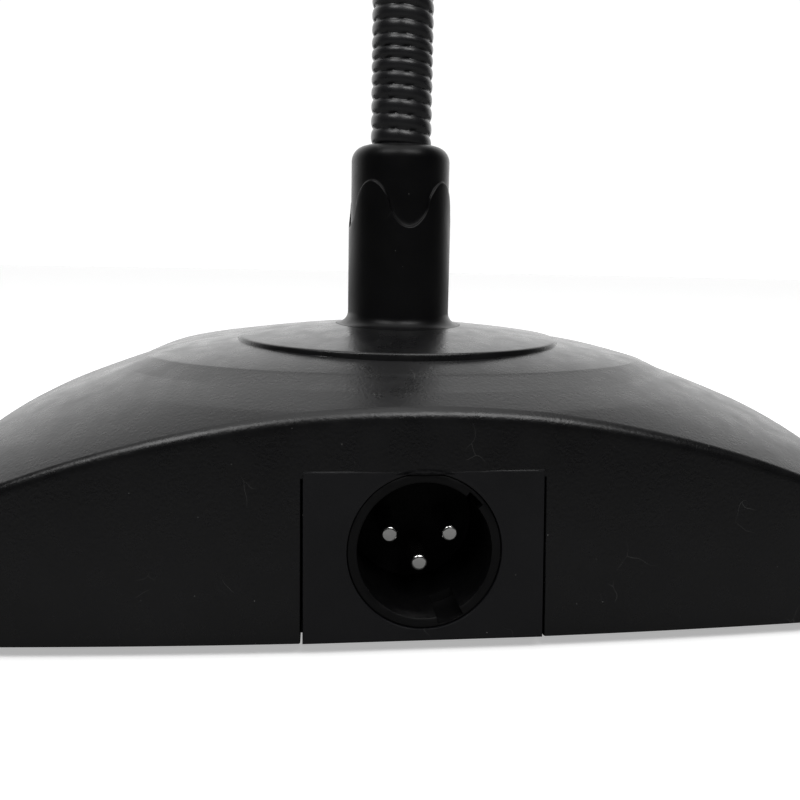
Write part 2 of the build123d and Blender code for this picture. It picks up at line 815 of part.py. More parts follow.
# ---------------------------------------------------------------- neck mounting
with BuildPart() as neck_spigot:
    with BuildSketch(Plane.XY.offset(rim_z + spigot_bottom)):
        with Locations((0, neck_y)):
            Circle(spigot_radius)
    extrude(amount=bush_height - spigot_bottom)
    with BuildSketch(Plane.XY.offset(rim_z + bush_height)):
        with Locations((0, neck_y)):
            Circle(neck_radius)
    extrude(amount=spigot_head_radius / 2)
    with BuildSketch(Plane.XY.offset(rim_z + spigot_bottom)):
        with Locations((0, neck_y)):
            Circle(spigot_bore)
    extrude(amount=bush_height, mode=Mode.SUBTRACT)
put_out(neck_spigot.part, "neck_spigot")

with BuildPart() as neck_washer:
    with BuildSketch(Plane.XY.offset(rim_z + nut_seat_height)):
        with Locations((0, neck_y)):
            Circle(washer_radius)
            Circle(spigot_radius + boot_clearance, mode=Mode.SUBTRACT)
    extrude(amount=-washer_thickness)
put_out(neck_washer.part, "neck_washer")

with BuildPart() as neck_nut:
    with BuildSketch(Plane.XY.offset(rim_z + nut_seat_height - washer_thickness)):
        with Locations((0, neck_y)):
            RegularPolygon(neck_nut_width / 2, 6, major_radius=False)
            Circle(spigot_radius + screw_fit, mode=Mode.SUBTRACT)
    extrude(amount=-neck_nut_thickness)
put_out(neck_nut.part, "neck_nut")


# ---------------------------------------------------------------- gooseneck
def lean_direction(angle):
    """The neck's direction when it leans forwards by an angle from upright."""
    return Vector(0, -sin(radians(angle)), cos(radians(angle)))


def lean_profile_plane(point, angle):
    """A plane through the neck's axis: local X is the radius, local Y runs along the axis."""
    return Plane(
        origin=point,
        x_dir=(1, 0, 0),
        z_dir=(0, -cos(radians(angle)), -sin(radians(angle))),
    )


def ball_arc(radius, centre, inner, outer):
    """Draw the arc of a ball's face below its centre, between two distances from the axis."""
    middle = (inner + outer) / 2
    heights = [centre - sqrt(radius**2 - reach**2) for reach in (inner, middle, outer)]
    ThreePointArc((inner, heights[0]), (middle, heights[1]), (outer, heights[2]))
    return heights[0], heights[2]


def neck_piece(point, angle, bottom, length, radius):
    """A tube with a socket at its top for the next joint, and a ball or a flat face below.

    point is the joint below, and bottom says where a flat lower face is, or is None for a ball.
    """
    with BuildPart() as piece:
        with BuildSketch(lean_profile_plane(point, angle)):
            with BuildLine():
                if bottom is None:
                    low_inner, low_outer = ball_arc(link_ball_radius, 0, neck_bore, radius)
                else:
                    low_inner, low_outer = bottom, bottom
                    Line((neck_bore, bottom), (radius, bottom))
                top_inner, top_outer = ball_arc(link_socket_radius, length, neck_bore, radius)
                Line((radius, low_outer), (radius, top_outer))
                Line((neck_bore, low_inner), (neck_bore, top_inner))
            make_face()
        revolve(axis=Axis(point, lean_direction(angle)))
    return piece.part


stub_bottom = Vector(0, neck_y, rim_z + bush_height + spigot_head_radius / 2)
joint_points = [Vector(0, neck_y, rim_z + boot_height + first_joint_rise)]
joint_leans = [0.0]
for number in range(1, joints_per_section):
    joint_leans.append(lower_lean * number / joints_per_section)
    joint_points.append(joint_points[-1] + lean_direction(joint_leans[-1]) * link_pitch)
joint_leans.append(lower_lean)
joint_points.append(joint_points[-1] + lean_direction(lower_lean) * middle_length)
for number in range(1, joints_per_section):
    joint_leans.append(lower_lean + upper_lean * number / joints_per_section)
    joint_points.append(joint_points[-1] + lean_direction(joint_leans[-1]) * link_pitch)
joint_leans.append(lower_lean + upper_lean)

put_out(neck_piece(stub_bottom, 0, 0, (joint_points[0] - stub_bottom).length, neck_radius), "neck_stub")

for number in range(1, joints_per_section):
    lower_link = neck_piece(joint_points[number - 1], joint_leans[number], None, link_pitch, neck_radius)
    put_out(lower_link, "flex_lower_" + str(number))
    above = number + joints_per_section
    upper_link = neck_piece(joint_points[above - 1], joint_leans[above], None, link_pitch, neck_radius)
    put_out(upper_link, "flex_upper_" + str(number))

tube_joint = joint_points[joints_per_section - 1]
put_out(neck_piece(tube_joint, lower_lean, None, middle_length, neck_radius), "middle_tube")


def ferrule(start):
    """A crimped sleeve round the middle tube."""
    with BuildPart() as sleeve:
        with BuildSketch(lean_profile_plane(tube_joint, lower_lean)):
            with Locations(((neck_radius + ferrule_radius) / 2 + boot_clearance / 2, start)):
                Rectangle(
                    ferrule_radius - neck_radius - boot_clearance,
                    ferrule_length,
                    align=(Align.CENTER, Align.MIN),
                )
        revolve(axis=Axis(tube_joint, lean_direction(lower_lean)))
        fillet(sleeve.edges().filter_by(GeomType.CIRCLE).sort_by(SortBy.RADIUS)[-2:], fine)
    return sleeve.part


put_out(ferrule(ferrule_setback), "lower_ferrule")
put_out(ferrule(middle_length - ferrule_setback - ferrule_length), "upper_ferrule")

with BuildPart() as tube_lead:
    lead_plane = Plane(origin=tube_joint, x_dir=(1, 0, 0), z_dir=lean_direction(lower_lean))
    with BuildSketch(lead_plane.offset(-ferrule_setback)):
        Circle(neck_lead_in_tube)
    extrude(amount=middle_length - link_socket_radius)
put_out(tube_lead.part, "tube_lead")

# ---------------------------------------------------------------- head
head_point = joint_points[-1]
head_lean = joint_leans[-1]
head_axis = Axis(head_point, lean_direction(head_lean))
head_plane = Plane(origin=head_point, x_dir=(1, 0, 0), z_dir=lean_direction(head_lean))
head_profile = lean_profile_plane(head_point, head_lean)

with BuildPart() as head_stem:
    with BuildSketch(head_profile):
        with BuildLine():
            low_inner, low_outer = ball_arc(link_ball_radius, 0, neck_bore, neck_radius)
            Polyline(
                (neck_radius, low_outer),
                (neck_radius, 0),
                (head_stem_radius, head_stem_radius - neck_radius),
                (head_stem_radius, head_stem_end),
                (head_bore, head_stem_end),
                (neck_bore, low_inner),
            )
        make_face()
    revolve(axis=head_axis)
put_out(head_stem.part, "head_stem")

with BuildPart() as ring_light:
    with BuildSketch(head_plane.offset(head_stem_end)):
        Circle(ring_radius)
        Circle(head_bore, mode=Mode.SUBTRACT)
    extrude(amount=ring_end - head_stem_end)
    fillet(ring_light.edges().filter_by(GeomType.CIRCLE).sort_by(SortBy.RADIUS)[-2:], fine)
put_out(ring_light.part, "ring_light")

with BuildPart() as mic_body:
    with BuildSketch(head_plane.offset(ring_end)):
        Circle(mic_radius)
        Circle(mic_radius - mic_wall, mode=Mode.SUBTRACT)
    extrude(amount=mic_body_end - ring_end)
    with BuildSketch(head_plane.offset(ring_end)):
        Circle(mic_radius - fine)
        Circle(head_bore, mode=Mode.SUBTRACT)
    extrude(amount=mic_wall)
put_out(mic_body.part, "mic_body")

grille_straight = grille_end - mic_radius / 2
with BuildPart() as mic_grille:
    with BuildSketch(head_profile):
        with BuildLine():
            inner_radius = mic_radius - grille_wall
            crown_tangents = ((0, 1), (-1, 0))
            Spline((mic_radius, grille_straight), (0, grille_end), tangents=crown_tangents)
            Spline(
                (inner_radius, grille_straight),
                (0, grille_end - grille_wall),
                tangents=crown_tangents,
            )
            Line((0, grille_end), (0, grille_end - grille_wall))
            Line((mic_radius, grille_straight), (mic_radius, mic_body_end))
            Line((mic_radius, mic_body_end), (inner_radius, mic_body_end))
            Line((inner_radius, mic_body_end), (inner_radius, grille_straight))
        make_face()
    revolve(axis=head_axis)
put_out(mic_grille.part, "mic_grille")

with BuildPart() as capsule:
    with BuildSketch(head_plane.offset(capsule_start)):
        Circle(capsule_radius)
    extrude(amount=capsule_end - capsule_start)
    fillet(capsule.edges().filter_by(GeomType.CIRCLE), fine)
put_out(capsule.part, "capsule")

with BuildPart() as capsule_holder:
    with BuildSketch(head_plane.offset(capsule_start - holder_wall)):
        Circle(mic_radius - grille_wall - boot_clearance)
        Circle(capsule_radius + boot_clearance, mode=Mode.SUBTRACT)
    extrude(amount=capsule_end - capsule_start)
put_out(capsule_holder.part, "capsule_holder")

with BuildPart() as capsule_leads:
    with BuildSketch(head_plane.offset(head_stem_end / 2)):
        with Locations((-2 * wire_radius, 0), (2 * wire_radius, 0)):
            Circle(wire_radius)
    extrude(amount=capsule_start - head_stem_end / 2)
put_out(capsule_leads.part, "capsule_leads")

foam_bore = mic_radius + foam_clearance
foam_round = foam_end - foam_radius
with BuildPart() as foam_windscreen:
    with BuildSketch(head_profile):
        with BuildLine():
            foam_floor = grille_end + foam_clearance
            ThreePointArc(
                (foam_radius, foam_round),
                (foam_radius * cos(pi / 4), foam_round + foam_radius * sin(pi / 4)),
                (0, foam_end),
            )
            Polyline(
                (0, foam_end),
                (0, foam_floor),
                (foam_bore, foam_floor),
                (foam_bore, foam_start),
                (foam_radius - 2, foam_start),
                (foam_radius, foam_start + 2),
                (foam_radius, foam_round),
            )
        make_face()
    revolve(axis=head_axis)
put_out(foam_windscreen.part, "foam_windscreen")
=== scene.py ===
"""The looks of a gooseneck podium microphone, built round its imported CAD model.

Sizes are in millimetres in the frame of the part: +Z up, the speaker's side at -Y and the
connector wall at +Y.
"""

import json
from math import atan2, copysign, cos, floor, pi, radians, sin, sqrt, tan

import bmesh
import bpy
import numpy as np
from mathutils import Matrix, Vector, noise


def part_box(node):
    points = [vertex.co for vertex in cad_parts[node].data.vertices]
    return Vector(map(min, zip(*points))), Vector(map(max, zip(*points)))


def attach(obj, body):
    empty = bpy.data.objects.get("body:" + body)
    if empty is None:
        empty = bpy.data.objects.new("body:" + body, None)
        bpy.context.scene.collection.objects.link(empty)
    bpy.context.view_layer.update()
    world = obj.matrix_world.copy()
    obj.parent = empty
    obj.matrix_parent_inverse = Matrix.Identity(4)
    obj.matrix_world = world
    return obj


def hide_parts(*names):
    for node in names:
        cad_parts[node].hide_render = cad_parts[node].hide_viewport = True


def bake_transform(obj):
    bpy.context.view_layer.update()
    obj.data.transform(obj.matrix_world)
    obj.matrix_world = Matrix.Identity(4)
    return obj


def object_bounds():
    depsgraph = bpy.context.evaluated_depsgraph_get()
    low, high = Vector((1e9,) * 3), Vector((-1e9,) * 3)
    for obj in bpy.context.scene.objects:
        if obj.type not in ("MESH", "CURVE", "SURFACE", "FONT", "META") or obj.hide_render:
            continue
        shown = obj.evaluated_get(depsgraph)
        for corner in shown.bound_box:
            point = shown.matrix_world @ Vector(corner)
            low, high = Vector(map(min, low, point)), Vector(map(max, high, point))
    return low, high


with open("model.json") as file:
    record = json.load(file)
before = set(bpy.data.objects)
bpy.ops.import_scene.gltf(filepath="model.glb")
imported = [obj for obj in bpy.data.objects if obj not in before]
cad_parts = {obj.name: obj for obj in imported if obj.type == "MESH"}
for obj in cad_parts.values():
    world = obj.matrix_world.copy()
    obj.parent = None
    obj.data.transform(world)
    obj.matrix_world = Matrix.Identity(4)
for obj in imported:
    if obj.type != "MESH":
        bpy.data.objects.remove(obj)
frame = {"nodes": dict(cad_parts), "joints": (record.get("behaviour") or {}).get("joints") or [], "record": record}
cad_low, cad_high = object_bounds()
joints = {joint["name"]: joint for joint in frame["joints"]}
MM = 0.001


# -------- reading the frame
def joint_point(name):
    """Where a joint is, in millimetres."""
    return Vector(joints[name]["pos_m"]) / MM


def placed(origin, *axes):
    """The place with an origin and three local axes."""
    return Matrix.Translation(Vector(origin)) @ Matrix(axes).transposed().to_4x4()


def standing(origin, axis):
    """The place whose local Z runs along an axis square to +X, which is its local X."""
    z = Vector(axis).normalized()
    x = Vector((1, 0, 0))
    return placed(origin, x, z.cross(x).normalized(), z)


def reach(node, place):
    """Lowest and highest distance of a CAD node along a place's axis, and its largest radius round it."""
    inverse = place.inverted()
    points = np.array([inverse @ (v.co / MM) for v in frame["nodes"][node].data.vertices])
    radii = np.hypot(points[:, 0], points[:, 1])
    return points[:, 2].min(), points[:, 2].max(), radii.max()


# -------- mesh building
def grid_faces(rows, columns, wrap_rows=False, wrap_columns=False, skip=None):
    """Quads over a grid of points stored row by row."""
    faces = []
    for row in range(rows if wrap_rows else rows - 1):
        for column in range(columns if wrap_columns else columns - 1):
            if skip and skip(row, column):
                continue
            next_row, next_column = (row + 1) % rows, (column + 1) % columns
            faces.append(
                (
                    row * columns + column,
                    row * columns + next_column,
                    next_row * columns + next_column,
                    next_row * columns + column,
                )
            )
    return faces


def finish_mesh(mesh, sharp):
    """Clean a mesh, face it outwards and shade it smooth up to an angle."""
    bm = bmesh.new()
    bm.from_mesh(mesh)
    bmesh.ops.remove_doubles(bm, verts=bm.verts, dist=2e-6)
    bmesh.ops.dissolve_degenerate(bm, edges=bm.edges, dist=1e-7)
    bmesh.ops.recalc_face_normals(bm, faces=bm.faces)
    bm.to_mesh(mesh)
    bm.free()
    mesh.polygons.foreach_set("use_smooth", [True] * len(mesh.polygons))
    mesh.set_sharp_from_angle(angle=radians(sharp))


def new_object(name, data):
    """A new object in the scene."""
    made = bpy.data.objects.new(name, data)
    bpy.context.scene.collection.objects.link(made)
    return made


def add_mesh(name, points, faces, sharp=40):
    """A new object from points in millimetres."""
    mesh = bpy.data.meshes.new(name)
    mesh.from_pydata([tuple(c * MM for c in p) for p in points], [], faces)
    finish_mesh(mesh, sharp)
    return new_object(name, mesh)


def dress(piece, slot, body, *nodes):
    """Give a piece its finish, tie it to its body, and hide the CAD nodes it stands for."""
    piece.data.materials.clear()
    piece.data.materials.append(MATERIALS[slot])
    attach(piece, body)
    if nodes:
        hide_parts(*nodes)
    return piece


def rounded(outline, steps=4):
    """A closed outline of (radius, height, rounding) points, with each corner rounded by its own amount."""
    result = []
    for index, (r, z, rounding) in enumerate(outline):
        here = Vector((r, z))
        if not rounding:
            result.append(here)
            continue
        before = Vector(outline[index - 1][:2]) - here
        after = Vector(outline[(index + 1) % len(outline)][:2]) - here
        start = here + before.normalized() * min(rounding, 0.45 * before.length)
        end = here + after.normalized() * min(rounding, 0.45 * after.length)
        for step in range(steps + 1):
            t = step / steps
            result.append(start * (1 - t) ** 2 + here * 2 * t * (1 - t) + end * t**2)
    return result


def tube_outline(inner, outer, low, high, low_rounding=0, high_rounding=0):
    """The outline of a plain tube or, with no inner radius, of a plain rod."""
    return (inner, low, 0), (outer, low, low_rounding), (outer, high, high_rounding), (inner, high, 0)


def around(radius, angle, height):
    """A point at a radius, an angle and a height."""
    return Vector((radius * cos(angle), radius * sin(angle), height))


def lathe(name, outline, place, segments=96, steps=4, sharp=40):
    """A closed outline of (radius, height, rounding) points turned round a place's axis."""
    profile = rounded(outline, steps)
    points = []
    for spot in profile:
        for turn in range(segments):
            points.append(place @ around(spot.x, 2 * pi * turn / segments, spot.y))
    faces = grid_faces(len(profile), segments, wrap_rows=True, wrap_columns=True)
    return add_mesh(name, points, faces, sharp)


def apply_modifiers(piece, sharp):
    """Turn a piece's modifiers into its own mesh."""
    evaluated = piece.evaluated_get(bpy.context.evaluated_depsgraph_get())
    piece.data = bpy.data.meshes.new_from_object(evaluated)
    piece.modifiers.clear()
    finish_mesh(piece.data, sharp)


def carve(piece, cutter):
    """Cut one piece out of another and drop the cutter."""
    cut = piece.modifiers.new("cut", "BOOLEAN")
    cut.object = cutter
    cut.solver = "EXACT"
    apply_modifiers(piece, 30)
    bpy.data.objects.remove(cutter)


# -------- materials
def node(tree, kind, props=None, **inputs):
    """Add a shader node. An input is set to a value, or linked when it is given another node's output."""
    made = tree.nodes.new("ShaderNode" + kind)
    for key, value in (props or {}).items():
        setattr(made, key, value)
    for key, value in inputs.items():
        socket = made.inputs[int(key[1:])] if key[0] == "i" and key[1:].isdigit() else made.inputs[key]
        if isinstance(value, bpy.types.NodeSocket):
            tree.links.new(value, socket)
        else:
            socket.default_value = value
    return made


def start_material(name, **settings):
    """A material with a Principled shader whose even values are set on its own sockets."""
    material = bpy.data.materials.new(name)
    material.use_nodes = True
    tree = material.node_tree
    shader = tree.nodes["Principled BSDF"]
    for key, value in settings.items():
        shader.inputs[key.replace("_", " ")].default_value = value
    place = node(tree, "TexCoord").outputs["Object"]
    scaled = node(tree, "Mapping", i0=place, i3=(1 / MM, 1 / MM, 1 / MM))
    return material, tree, scaled.outputs[0]


def math_node(tree, operation, first, second=0.0, clamp=False):
    """The output of one Math node."""
    made = node(tree, "Math", {"operation": operation, "use_clamp": clamp}, i0=first, i1=second)
    return made.outputs[0]


def noise_out(tree, where, scale, detail=3.0, roughness=0.5):
    """A noise value whose scale is in cycles per millimetre."""
    made = node(tree, "TexNoise", Vector=where, Scale=scale, Detail=detail, Roughness=roughness)
    return made.outputs["Fac"]


def cell_out(tree, where, scale, feature="F1"):
    """The distance to the nearest cell centre or edge, with cells per millimetre."""
    made = node(tree, "TexVoronoi", {"feature": feature}, Vector=where, Scale=scale)
    return made.outputs["Distance"]


def ramp(tree, value, low, high, low_colour, high_colour):
    """A colour that runs between two as a value goes from low to high."""
    made = node(tree, "ValToRGB", Fac=value)
    first, last = made.color_ramp.elements
    first.position, last.position = low, high
    first.color, last.color = (*low_colour, 1), (*high_colour, 1)
    return made.outputs["Color"]


def between(tree, value, low, high, to_low, to_high):
    """A number mapped from one range to another."""
    made = node(tree, "MapRange", i0=value, i1=low, i2=high, i3=to_low, i4=to_high)
    return made.outputs[0]


def mixed(tree, factor, first, second):
    """Two colours mixed by a factor."""
    made = node(tree, "Mix", {"data_type": "RGBA"}, i0=factor, i6=first, i7=second)
    return made.outputs[2]


def finished(material, colour, sheen, height, depth_mm, strength=1.0):
    """Link a material's colour, its roughness, and its fine relief from a height of 0 to 1."""
    tree = material.node_tree
    relief = node(tree, "Bump", Height=height, Distance=depth_mm * MM, Strength=strength)
    links = {"Base Color": colour, "Roughness": sheen, "Normal": relief.outputs[0]}
    for key, value in links.items():
        tree.links.new(value, tree.nodes["Principled BSDF"].inputs[key])
    return material


def moulded(name, colour, grain=2.4, depth=0.016, gloss=(0.24, 0.34), dust=0.5, specular=0.5):
    """Black moulded plastic: pebbled grain, uneven sheen, and a little dust and a few fine scratches."""
    material, tree, where = start_material(name, Specular_IOR_Level=specular)
    pebbles = cell_out(tree, where, grain, "SMOOTH_F1")
    ripple = noise_out(tree, where, grain * 1.7, 4.0, 0.6)
    height = math_node(tree, "ADD", pebbles, ripple)
    cloud = noise_out(tree, where, 0.045, 3.0)
    light = tuple(c * 1.5 + 0.002 for c in colour)
    base = ramp(tree, cloud, 0.35, 0.7, colour, light)
    # Dust: small pale dots, gathered in patches
    dots = math_node(tree, "LESS_THAN", cell_out(tree, where, 0.55), 0.045)
    patches = between(tree, noise_out(tree, where, 0.09, 2.0), 0.52, 0.62, 0.0, dust)
    specks = math_node(tree, "MULTIPLY", dots, patches)
    # Scratches: short stretches of the edges of large warped cells
    warp = node(tree, "TexNoise", Vector=where, Scale=0.12, Detail=2.0)
    shift = {"operation": "MULTIPLY_ADD"}
    bent = node(tree, "VectorMath", shift, i0=warp.outputs["Color"], i1=(9, 9, 9), i2=where)
    edges = cell_out(tree, bent.outputs[0], 0.16, "DISTANCE_TO_EDGE")
    lines = math_node(tree, "LESS_THAN", edges, 0.004)
    sparse = between(tree, noise_out(tree, where, 0.13, 1.0), 0.67, 0.73, 0.0, 0.25 * dust)
    scratches = math_node(tree, "MULTIPLY", lines, sparse)
    marks = math_node(tree, "ADD", specks, scratches, clamp=True)
    marked = mixed(tree, marks, base, (0.32, 0.32, 0.31, 1))
    sheen = between(tree, noise_out(tree, where, 0.3, 4.0), 0.3, 0.7, *gloss)
    return finished(material, marked, sheen, height, depth)


def metal(name, colour, rough=0.3, brushed=(0.6, 0.6, 9.0), metallic=1.0, depth=0.004):
    """Metal with drawn or turned marks and slightly uneven polish."""
    material, tree, where = start_material(name, Metallic=metallic)
    stretched = node(tree, "Mapping", i0=where, i3=brushed).outputs[0]
    lines = noise_out(tree, stretched, 1.0, 5.0, 0.65)
    cloud = noise_out(tree, where, 0.12, 3.0)
    dark = tuple(c * 0.78 for c in colour)
    base = ramp(tree, cloud, 0.3, 0.7, dark, colour)
    sheen = between(tree, lines, 0.3, 0.7, rough * 0.8, rough * 1.3)
    return finished(material, base, sheen, lines, depth)


def painted(name, colour, rough=0.36, depth=0.012, wear=0.4, specular=0.5):
    """Satin black paint over metal, with a fine orange peel and small bright rub marks."""
    material, tree, where = start_material(name, Specular_IOR_Level=specular)
    peel = noise_out(tree, where, 3.2, 3.0, 0.55)
    cloud = noise_out(tree, where, 0.08, 3.0)
    light = tuple(c * 1.6 + 0.002 for c in colour)
    base = ramp(tree, cloud, 0.3, 0.7, colour, light)
    rubbed = between(tree, noise_out(tree, where, 1.1, 6.0, 0.7), 0.7, 0.76, 0.0, wear)
    worn = mixed(tree, rubbed, base, (0.09, 0.09, 0.09, 1))
    sheen = between(tree, noise_out(tree, where, 0.5, 4.0), 0.3, 0.7, rough * 0.85, rough * 1.2)
    return finished(material, worn, sheen, peel, depth)


def rubber(name, colour, rough=0.7, grain=4.0, depth=0.03):
    """Matt rubber or soft plastic with a fine tooth."""
    material, tree, where = start_material(name, Specular_IOR_Level=0.35)
    tooth = noise_out(tree, where, grain, 4.0, 0.6)
    cloud = noise_out(tree, where, 0.2, 3.0)
    light = tuple(c * 1.5 + 0.003 for c in colour)
    base = ramp(tree, cloud, 0.3, 0.7, colour, light)
    sheen = between(tree, tooth, 0.3, 0.7, rough * 0.85, min(1.0, rough * 1.15))
    return finished(material, base, sheen, tooth, depth)


def clear_plastic(name, colour, glow, transmission=0.55):
    """A moulded light guide that scatters a little."""
    glowing = {"Emission_Strength": glow, "Emission_Color": (*colour, 1)}
    material, tree, where = start_material(name, Transmission_Weight=transmission, IOR=1.49, **glowing)
    cloud = noise_out(tree, where, 0.6, 3.0)
    deep = tuple(c * 0.7 for c in colour)
    base = ramp(tree, cloud, 0.3, 0.7, deep, colour)
    sheen = between(tree, noise_out(tree, where, 2.0, 3.0), 0.3, 0.7, 0.16, 0.3)
    return finished(material, base, sheen, cloud, 0.01)


def foam_material(name, colour):
    """Open-cell foam: soft webs, with painted shade darkening the pores between them."""
    soft = {"Sheen_Weight": 0.25, "Sheen_Roughness": 0.5}
    material, tree, where = start_material(name, Specular_IOR_Level=0.2, **soft)
    pores = cell_out(tree, where, 2.3)
    webs = cell_out(tree, where, 1.2, "DISTANCE_TO_EDGE")
    light = tuple(c * 2.6 + 0.006 for c in colour)
    # Painted shade: the colour is darkest in the middle of each pore and lightest on the webs
    base = ramp(tree, pores, 0.15, 0.75, colour, light)
    height = math_node(tree, "ADD", pores, math_node(tree, "MULTIPLY", webs, 0.8))
    sheen = between(tree, pores, 0.0, 1.0, 0.85, 1.0)
    return finished(material, base, sheen, height, 0.25, 0.9)


def board_material(name):
    """Green solder mask with fine copper tracks under it."""
    material, tree, where = start_material(name, Coat_Weight=0.4, Coat_Roughness=0.2)
    mask = {"Color1": (0.012, 0.11, 0.04, 1), "Color2": (0.016, 0.14, 0.05, 1)}
    copper = (0.04, 0.26, 0.10, 1)
    tracks = node(tree, "TexBrick", Vector=where, Scale=0.35, i5=0.04, Mortar=copper, **mask)
    sheen = between(tree, noise_out(tree, where, 1.5), 0.3, 0.7, 0.3, 0.45)
    return finished(material, tracks.outputs["Color"], sheen, tracks.outputs["Fac"], 0.03)


# Each finish is a material builder and its settings after the name
FINISHES = {
    "base_plastic": (moulded, (0.0026, 0.0026, 0.0030)),
    "boot_plastic": (moulded, (0.0018, 0.0018, 0.0021), 1.5, 0.006, (0.30, 0.38), 0.25, 0.2),
    "panel_plastic": (moulded, (0.0036, 0.0036, 0.0045), 2.8, 0.012, (0.36, 0.44), 0.6, 0.45),
    "plate_steel": (painted, (0.012, 0.012, 0.013), 0.5, 0.03),
    "ballast_iron": (metal, (0.16, 0.16, 0.165), 0.55, (0.8, 0.8, 0.8), 1.0, 0.05),
    "feet_rubber": (rubber, (0.018, 0.018, 0.019)),
    "screw_steel": (metal, (0.42, 0.42, 0.43), 0.3, (1.2, 1.2, 1.2)),
    # Far darker than the other black paint: painted shade inside the connector's bore
    "shell_metal": (painted, (0.0012, 0.0012, 0.0014), 0.40, 0.006, 0.03, 0.25),
    # Nearly no colour at all: painted shade deep in the connector's bore
    "insert_plastic": (rubber, (0.0010, 0.0010, 0.0012), 0.75),
    "contact_silver": (metal, (0.86, 0.86, 0.84), 0.16, (1.5, 0.3, 1.5), 1.0, 0.002),
    "standoff_brass": (metal, (0.75, 0.58, 0.28), 0.28),
    "board_green": (board_material,),
    "capacitor_can": (metal, (0.16, 0.18, 0.30), 0.35),
    "chip_black": (rubber, (0.012, 0.012, 0.012), 0.5),
    "transformer_can": (metal, (0.6, 0.6, 0.61), 0.3),
    "terminal_plastic": (rubber, (0.62, 0.62, 0.58), 0.45, 2.0, 0.01),
    "led_chip": (clear_plastic, (0.75, 0.85, 0.6), 0.3),
    "light_pipe": (clear_plastic, (0.25, 0.75, 0.35), 0.12),
    "wire_jacket": (rubber, (0.03, 0.03, 0.034), 0.5, 2.0, 0.02),
    "bezel_metal": (metal, (0.10, 0.10, 0.105), 0.28, (3.0, 3.0, 0.6), 1.0, 0.004),
    "nut_steel": (metal, (0.55, 0.55, 0.56), 0.3),
    "switch_plastic": (rubber, (0.02, 0.02, 0.02), 0.5),
    "button_cap": (rubber, (0.030, 0.030, 0.033), 0.62, 5.0, 0.02),
    "spring_steel": (metal, (0.6, 0.6, 0.6), 0.25),
    "spigot_steel": (metal, (0.5, 0.5, 0.5), 0.3),
    "neck_black": (painted, (0.009, 0.009, 0.010), 0.30, 0.006, 0.6),
    "tube_black": (painted, (0.009, 0.009, 0.010), 0.34, 0.008),
    "ferrule_black": (painted, (0.010, 0.010, 0.011), 0.28, 0.004),
    "ring_lens": (clear_plastic, (0.55, 0.012, 0.010), 0.10, 0.35),
    "head_black": (painted, (0.010, 0.010, 0.011), 0.33, 0.006),
    "grille_steel": (metal, (0.06, 0.06, 0.063), 0.36, (2.0, 2.0, 2.0)),
    "capsule_brass": (metal, (0.75, 0.58, 0.30), 0.26),
    "holder_rubber": (rubber, (0.02, 0.02, 0.02)),
    "foam": (foam_material, (0.0055, 0.0055, 0.006)),
}
MATERIALS = {name: build(name, *settings) for name, (build, *settings) in FINISHES.items()}
slot_of = {row["node"]: row["material_slot"] for row in frame["record"]["subparts"]}
for name, cad_object in frame["nodes"].items():
    cad_object.data.materials.clear()
    cad_object.data.materials.append(MATERIALS[slot_of[name]])

# -------- base cover
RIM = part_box("base_cover")[0].z / MM
COVER = [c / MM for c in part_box("base_cover")[1]]
HALF_WIDTH, HALF_LENGTH = COVER[0], COVER[1]
NECK = joint_point("lower_bend_1")
WALL_DRAFT = radians(6.0)
REAR_BOW, FRONT_BOW = 700.0, 150.0
REAR_CORNER, FRONT_CORNER = 16.0, 42.0
DOME_CROWN = ((0.0, 35.2), (12.0, 34.75), (24.0, 33.3), (37.3, 31.1))
DOME_SKIRT = ((40.5, 29.5), (45.0, 27.95), (52.0, 25.3), (60.0, 21.9), (70.0, 16.8), (84.0, 8.0))
DOME_TILT, DISC_TILT = radians(1.0), radians(2.5)
REAR_STRETCH = ((0.0, 24.0, 30.0, 37.3, 40.5, 46.0), (0.74, 0.74, 0.69, 0.64, 0.69, 0.705))
FRONT_STRETCH, DISC_STRETCH = 1.434, 0.82
DISC_RADIUS, DISC_EDGE, DISC_CROWN = 23.8, 33.9, 35.9
DISC_RUN, DISC_STEP, DISC_END_SLOPE = 0.3, 0.8, -0.14
SHOULDER_RADIUS, SHOULDER_CROWN, SHOULDER_SLOPE = 20.5, 46.4, radians(22.0)
SIDE_WALL, ROOF = 2.8, 3.0
BOOT_SEAT_RADIUS, BOOT_SEAT, BUSH_BORE = 9.5, 33.6, 5.05
PANEL_SPAN = 14.5
PANEL_TOP, PANEL_GAP = 20.5, 0.25
EDGE_ROUNDING = 1.1
BLEND = 1.6


def natural_spline(points, spacing=0.05):
    """A finely sampled natural cubic curve through points, as two arrays."""
    known = np.array(points)
    chord = np.concatenate(([0], np.cumsum(np.hypot(*np.diff(known, axis=0).T))))
    step = np.diff(chord)
    count = len(known)
    system, right = np.eye(count), np.zeros((count, 2))
    for k in range(1, count - 1):
        system[k, k - 1 : k + 2] = step[k - 1], 2 * (step[k - 1] + step[k]), step[k]
        slopes = (known[k + 1] - known[k]) / step[k] - (known[k] - known[k - 1]) / step[k - 1]
        right[k] = 6 * slopes
    bend = np.linalg.solve(system, right)
    fine = np.arange(0, chord[-1], spacing)
    k = np.clip(np.searchsorted(chord, fine, side="right") - 1, 0, count - 2)
    a, b = (chord[k + 1] - fine)[:, None], (fine - chord[k])[:, None]
    h = step[k][:, None]
    curve = (bend[k] * a**3 + bend[k + 1] * b**3) / (6 * h)
    curve += (known[k] / h - bend[k] * h / 6) * a + (known[k + 1] / h - bend[k + 1] * h / 6) * b
    return curve[:, 0], curve[:, 1]


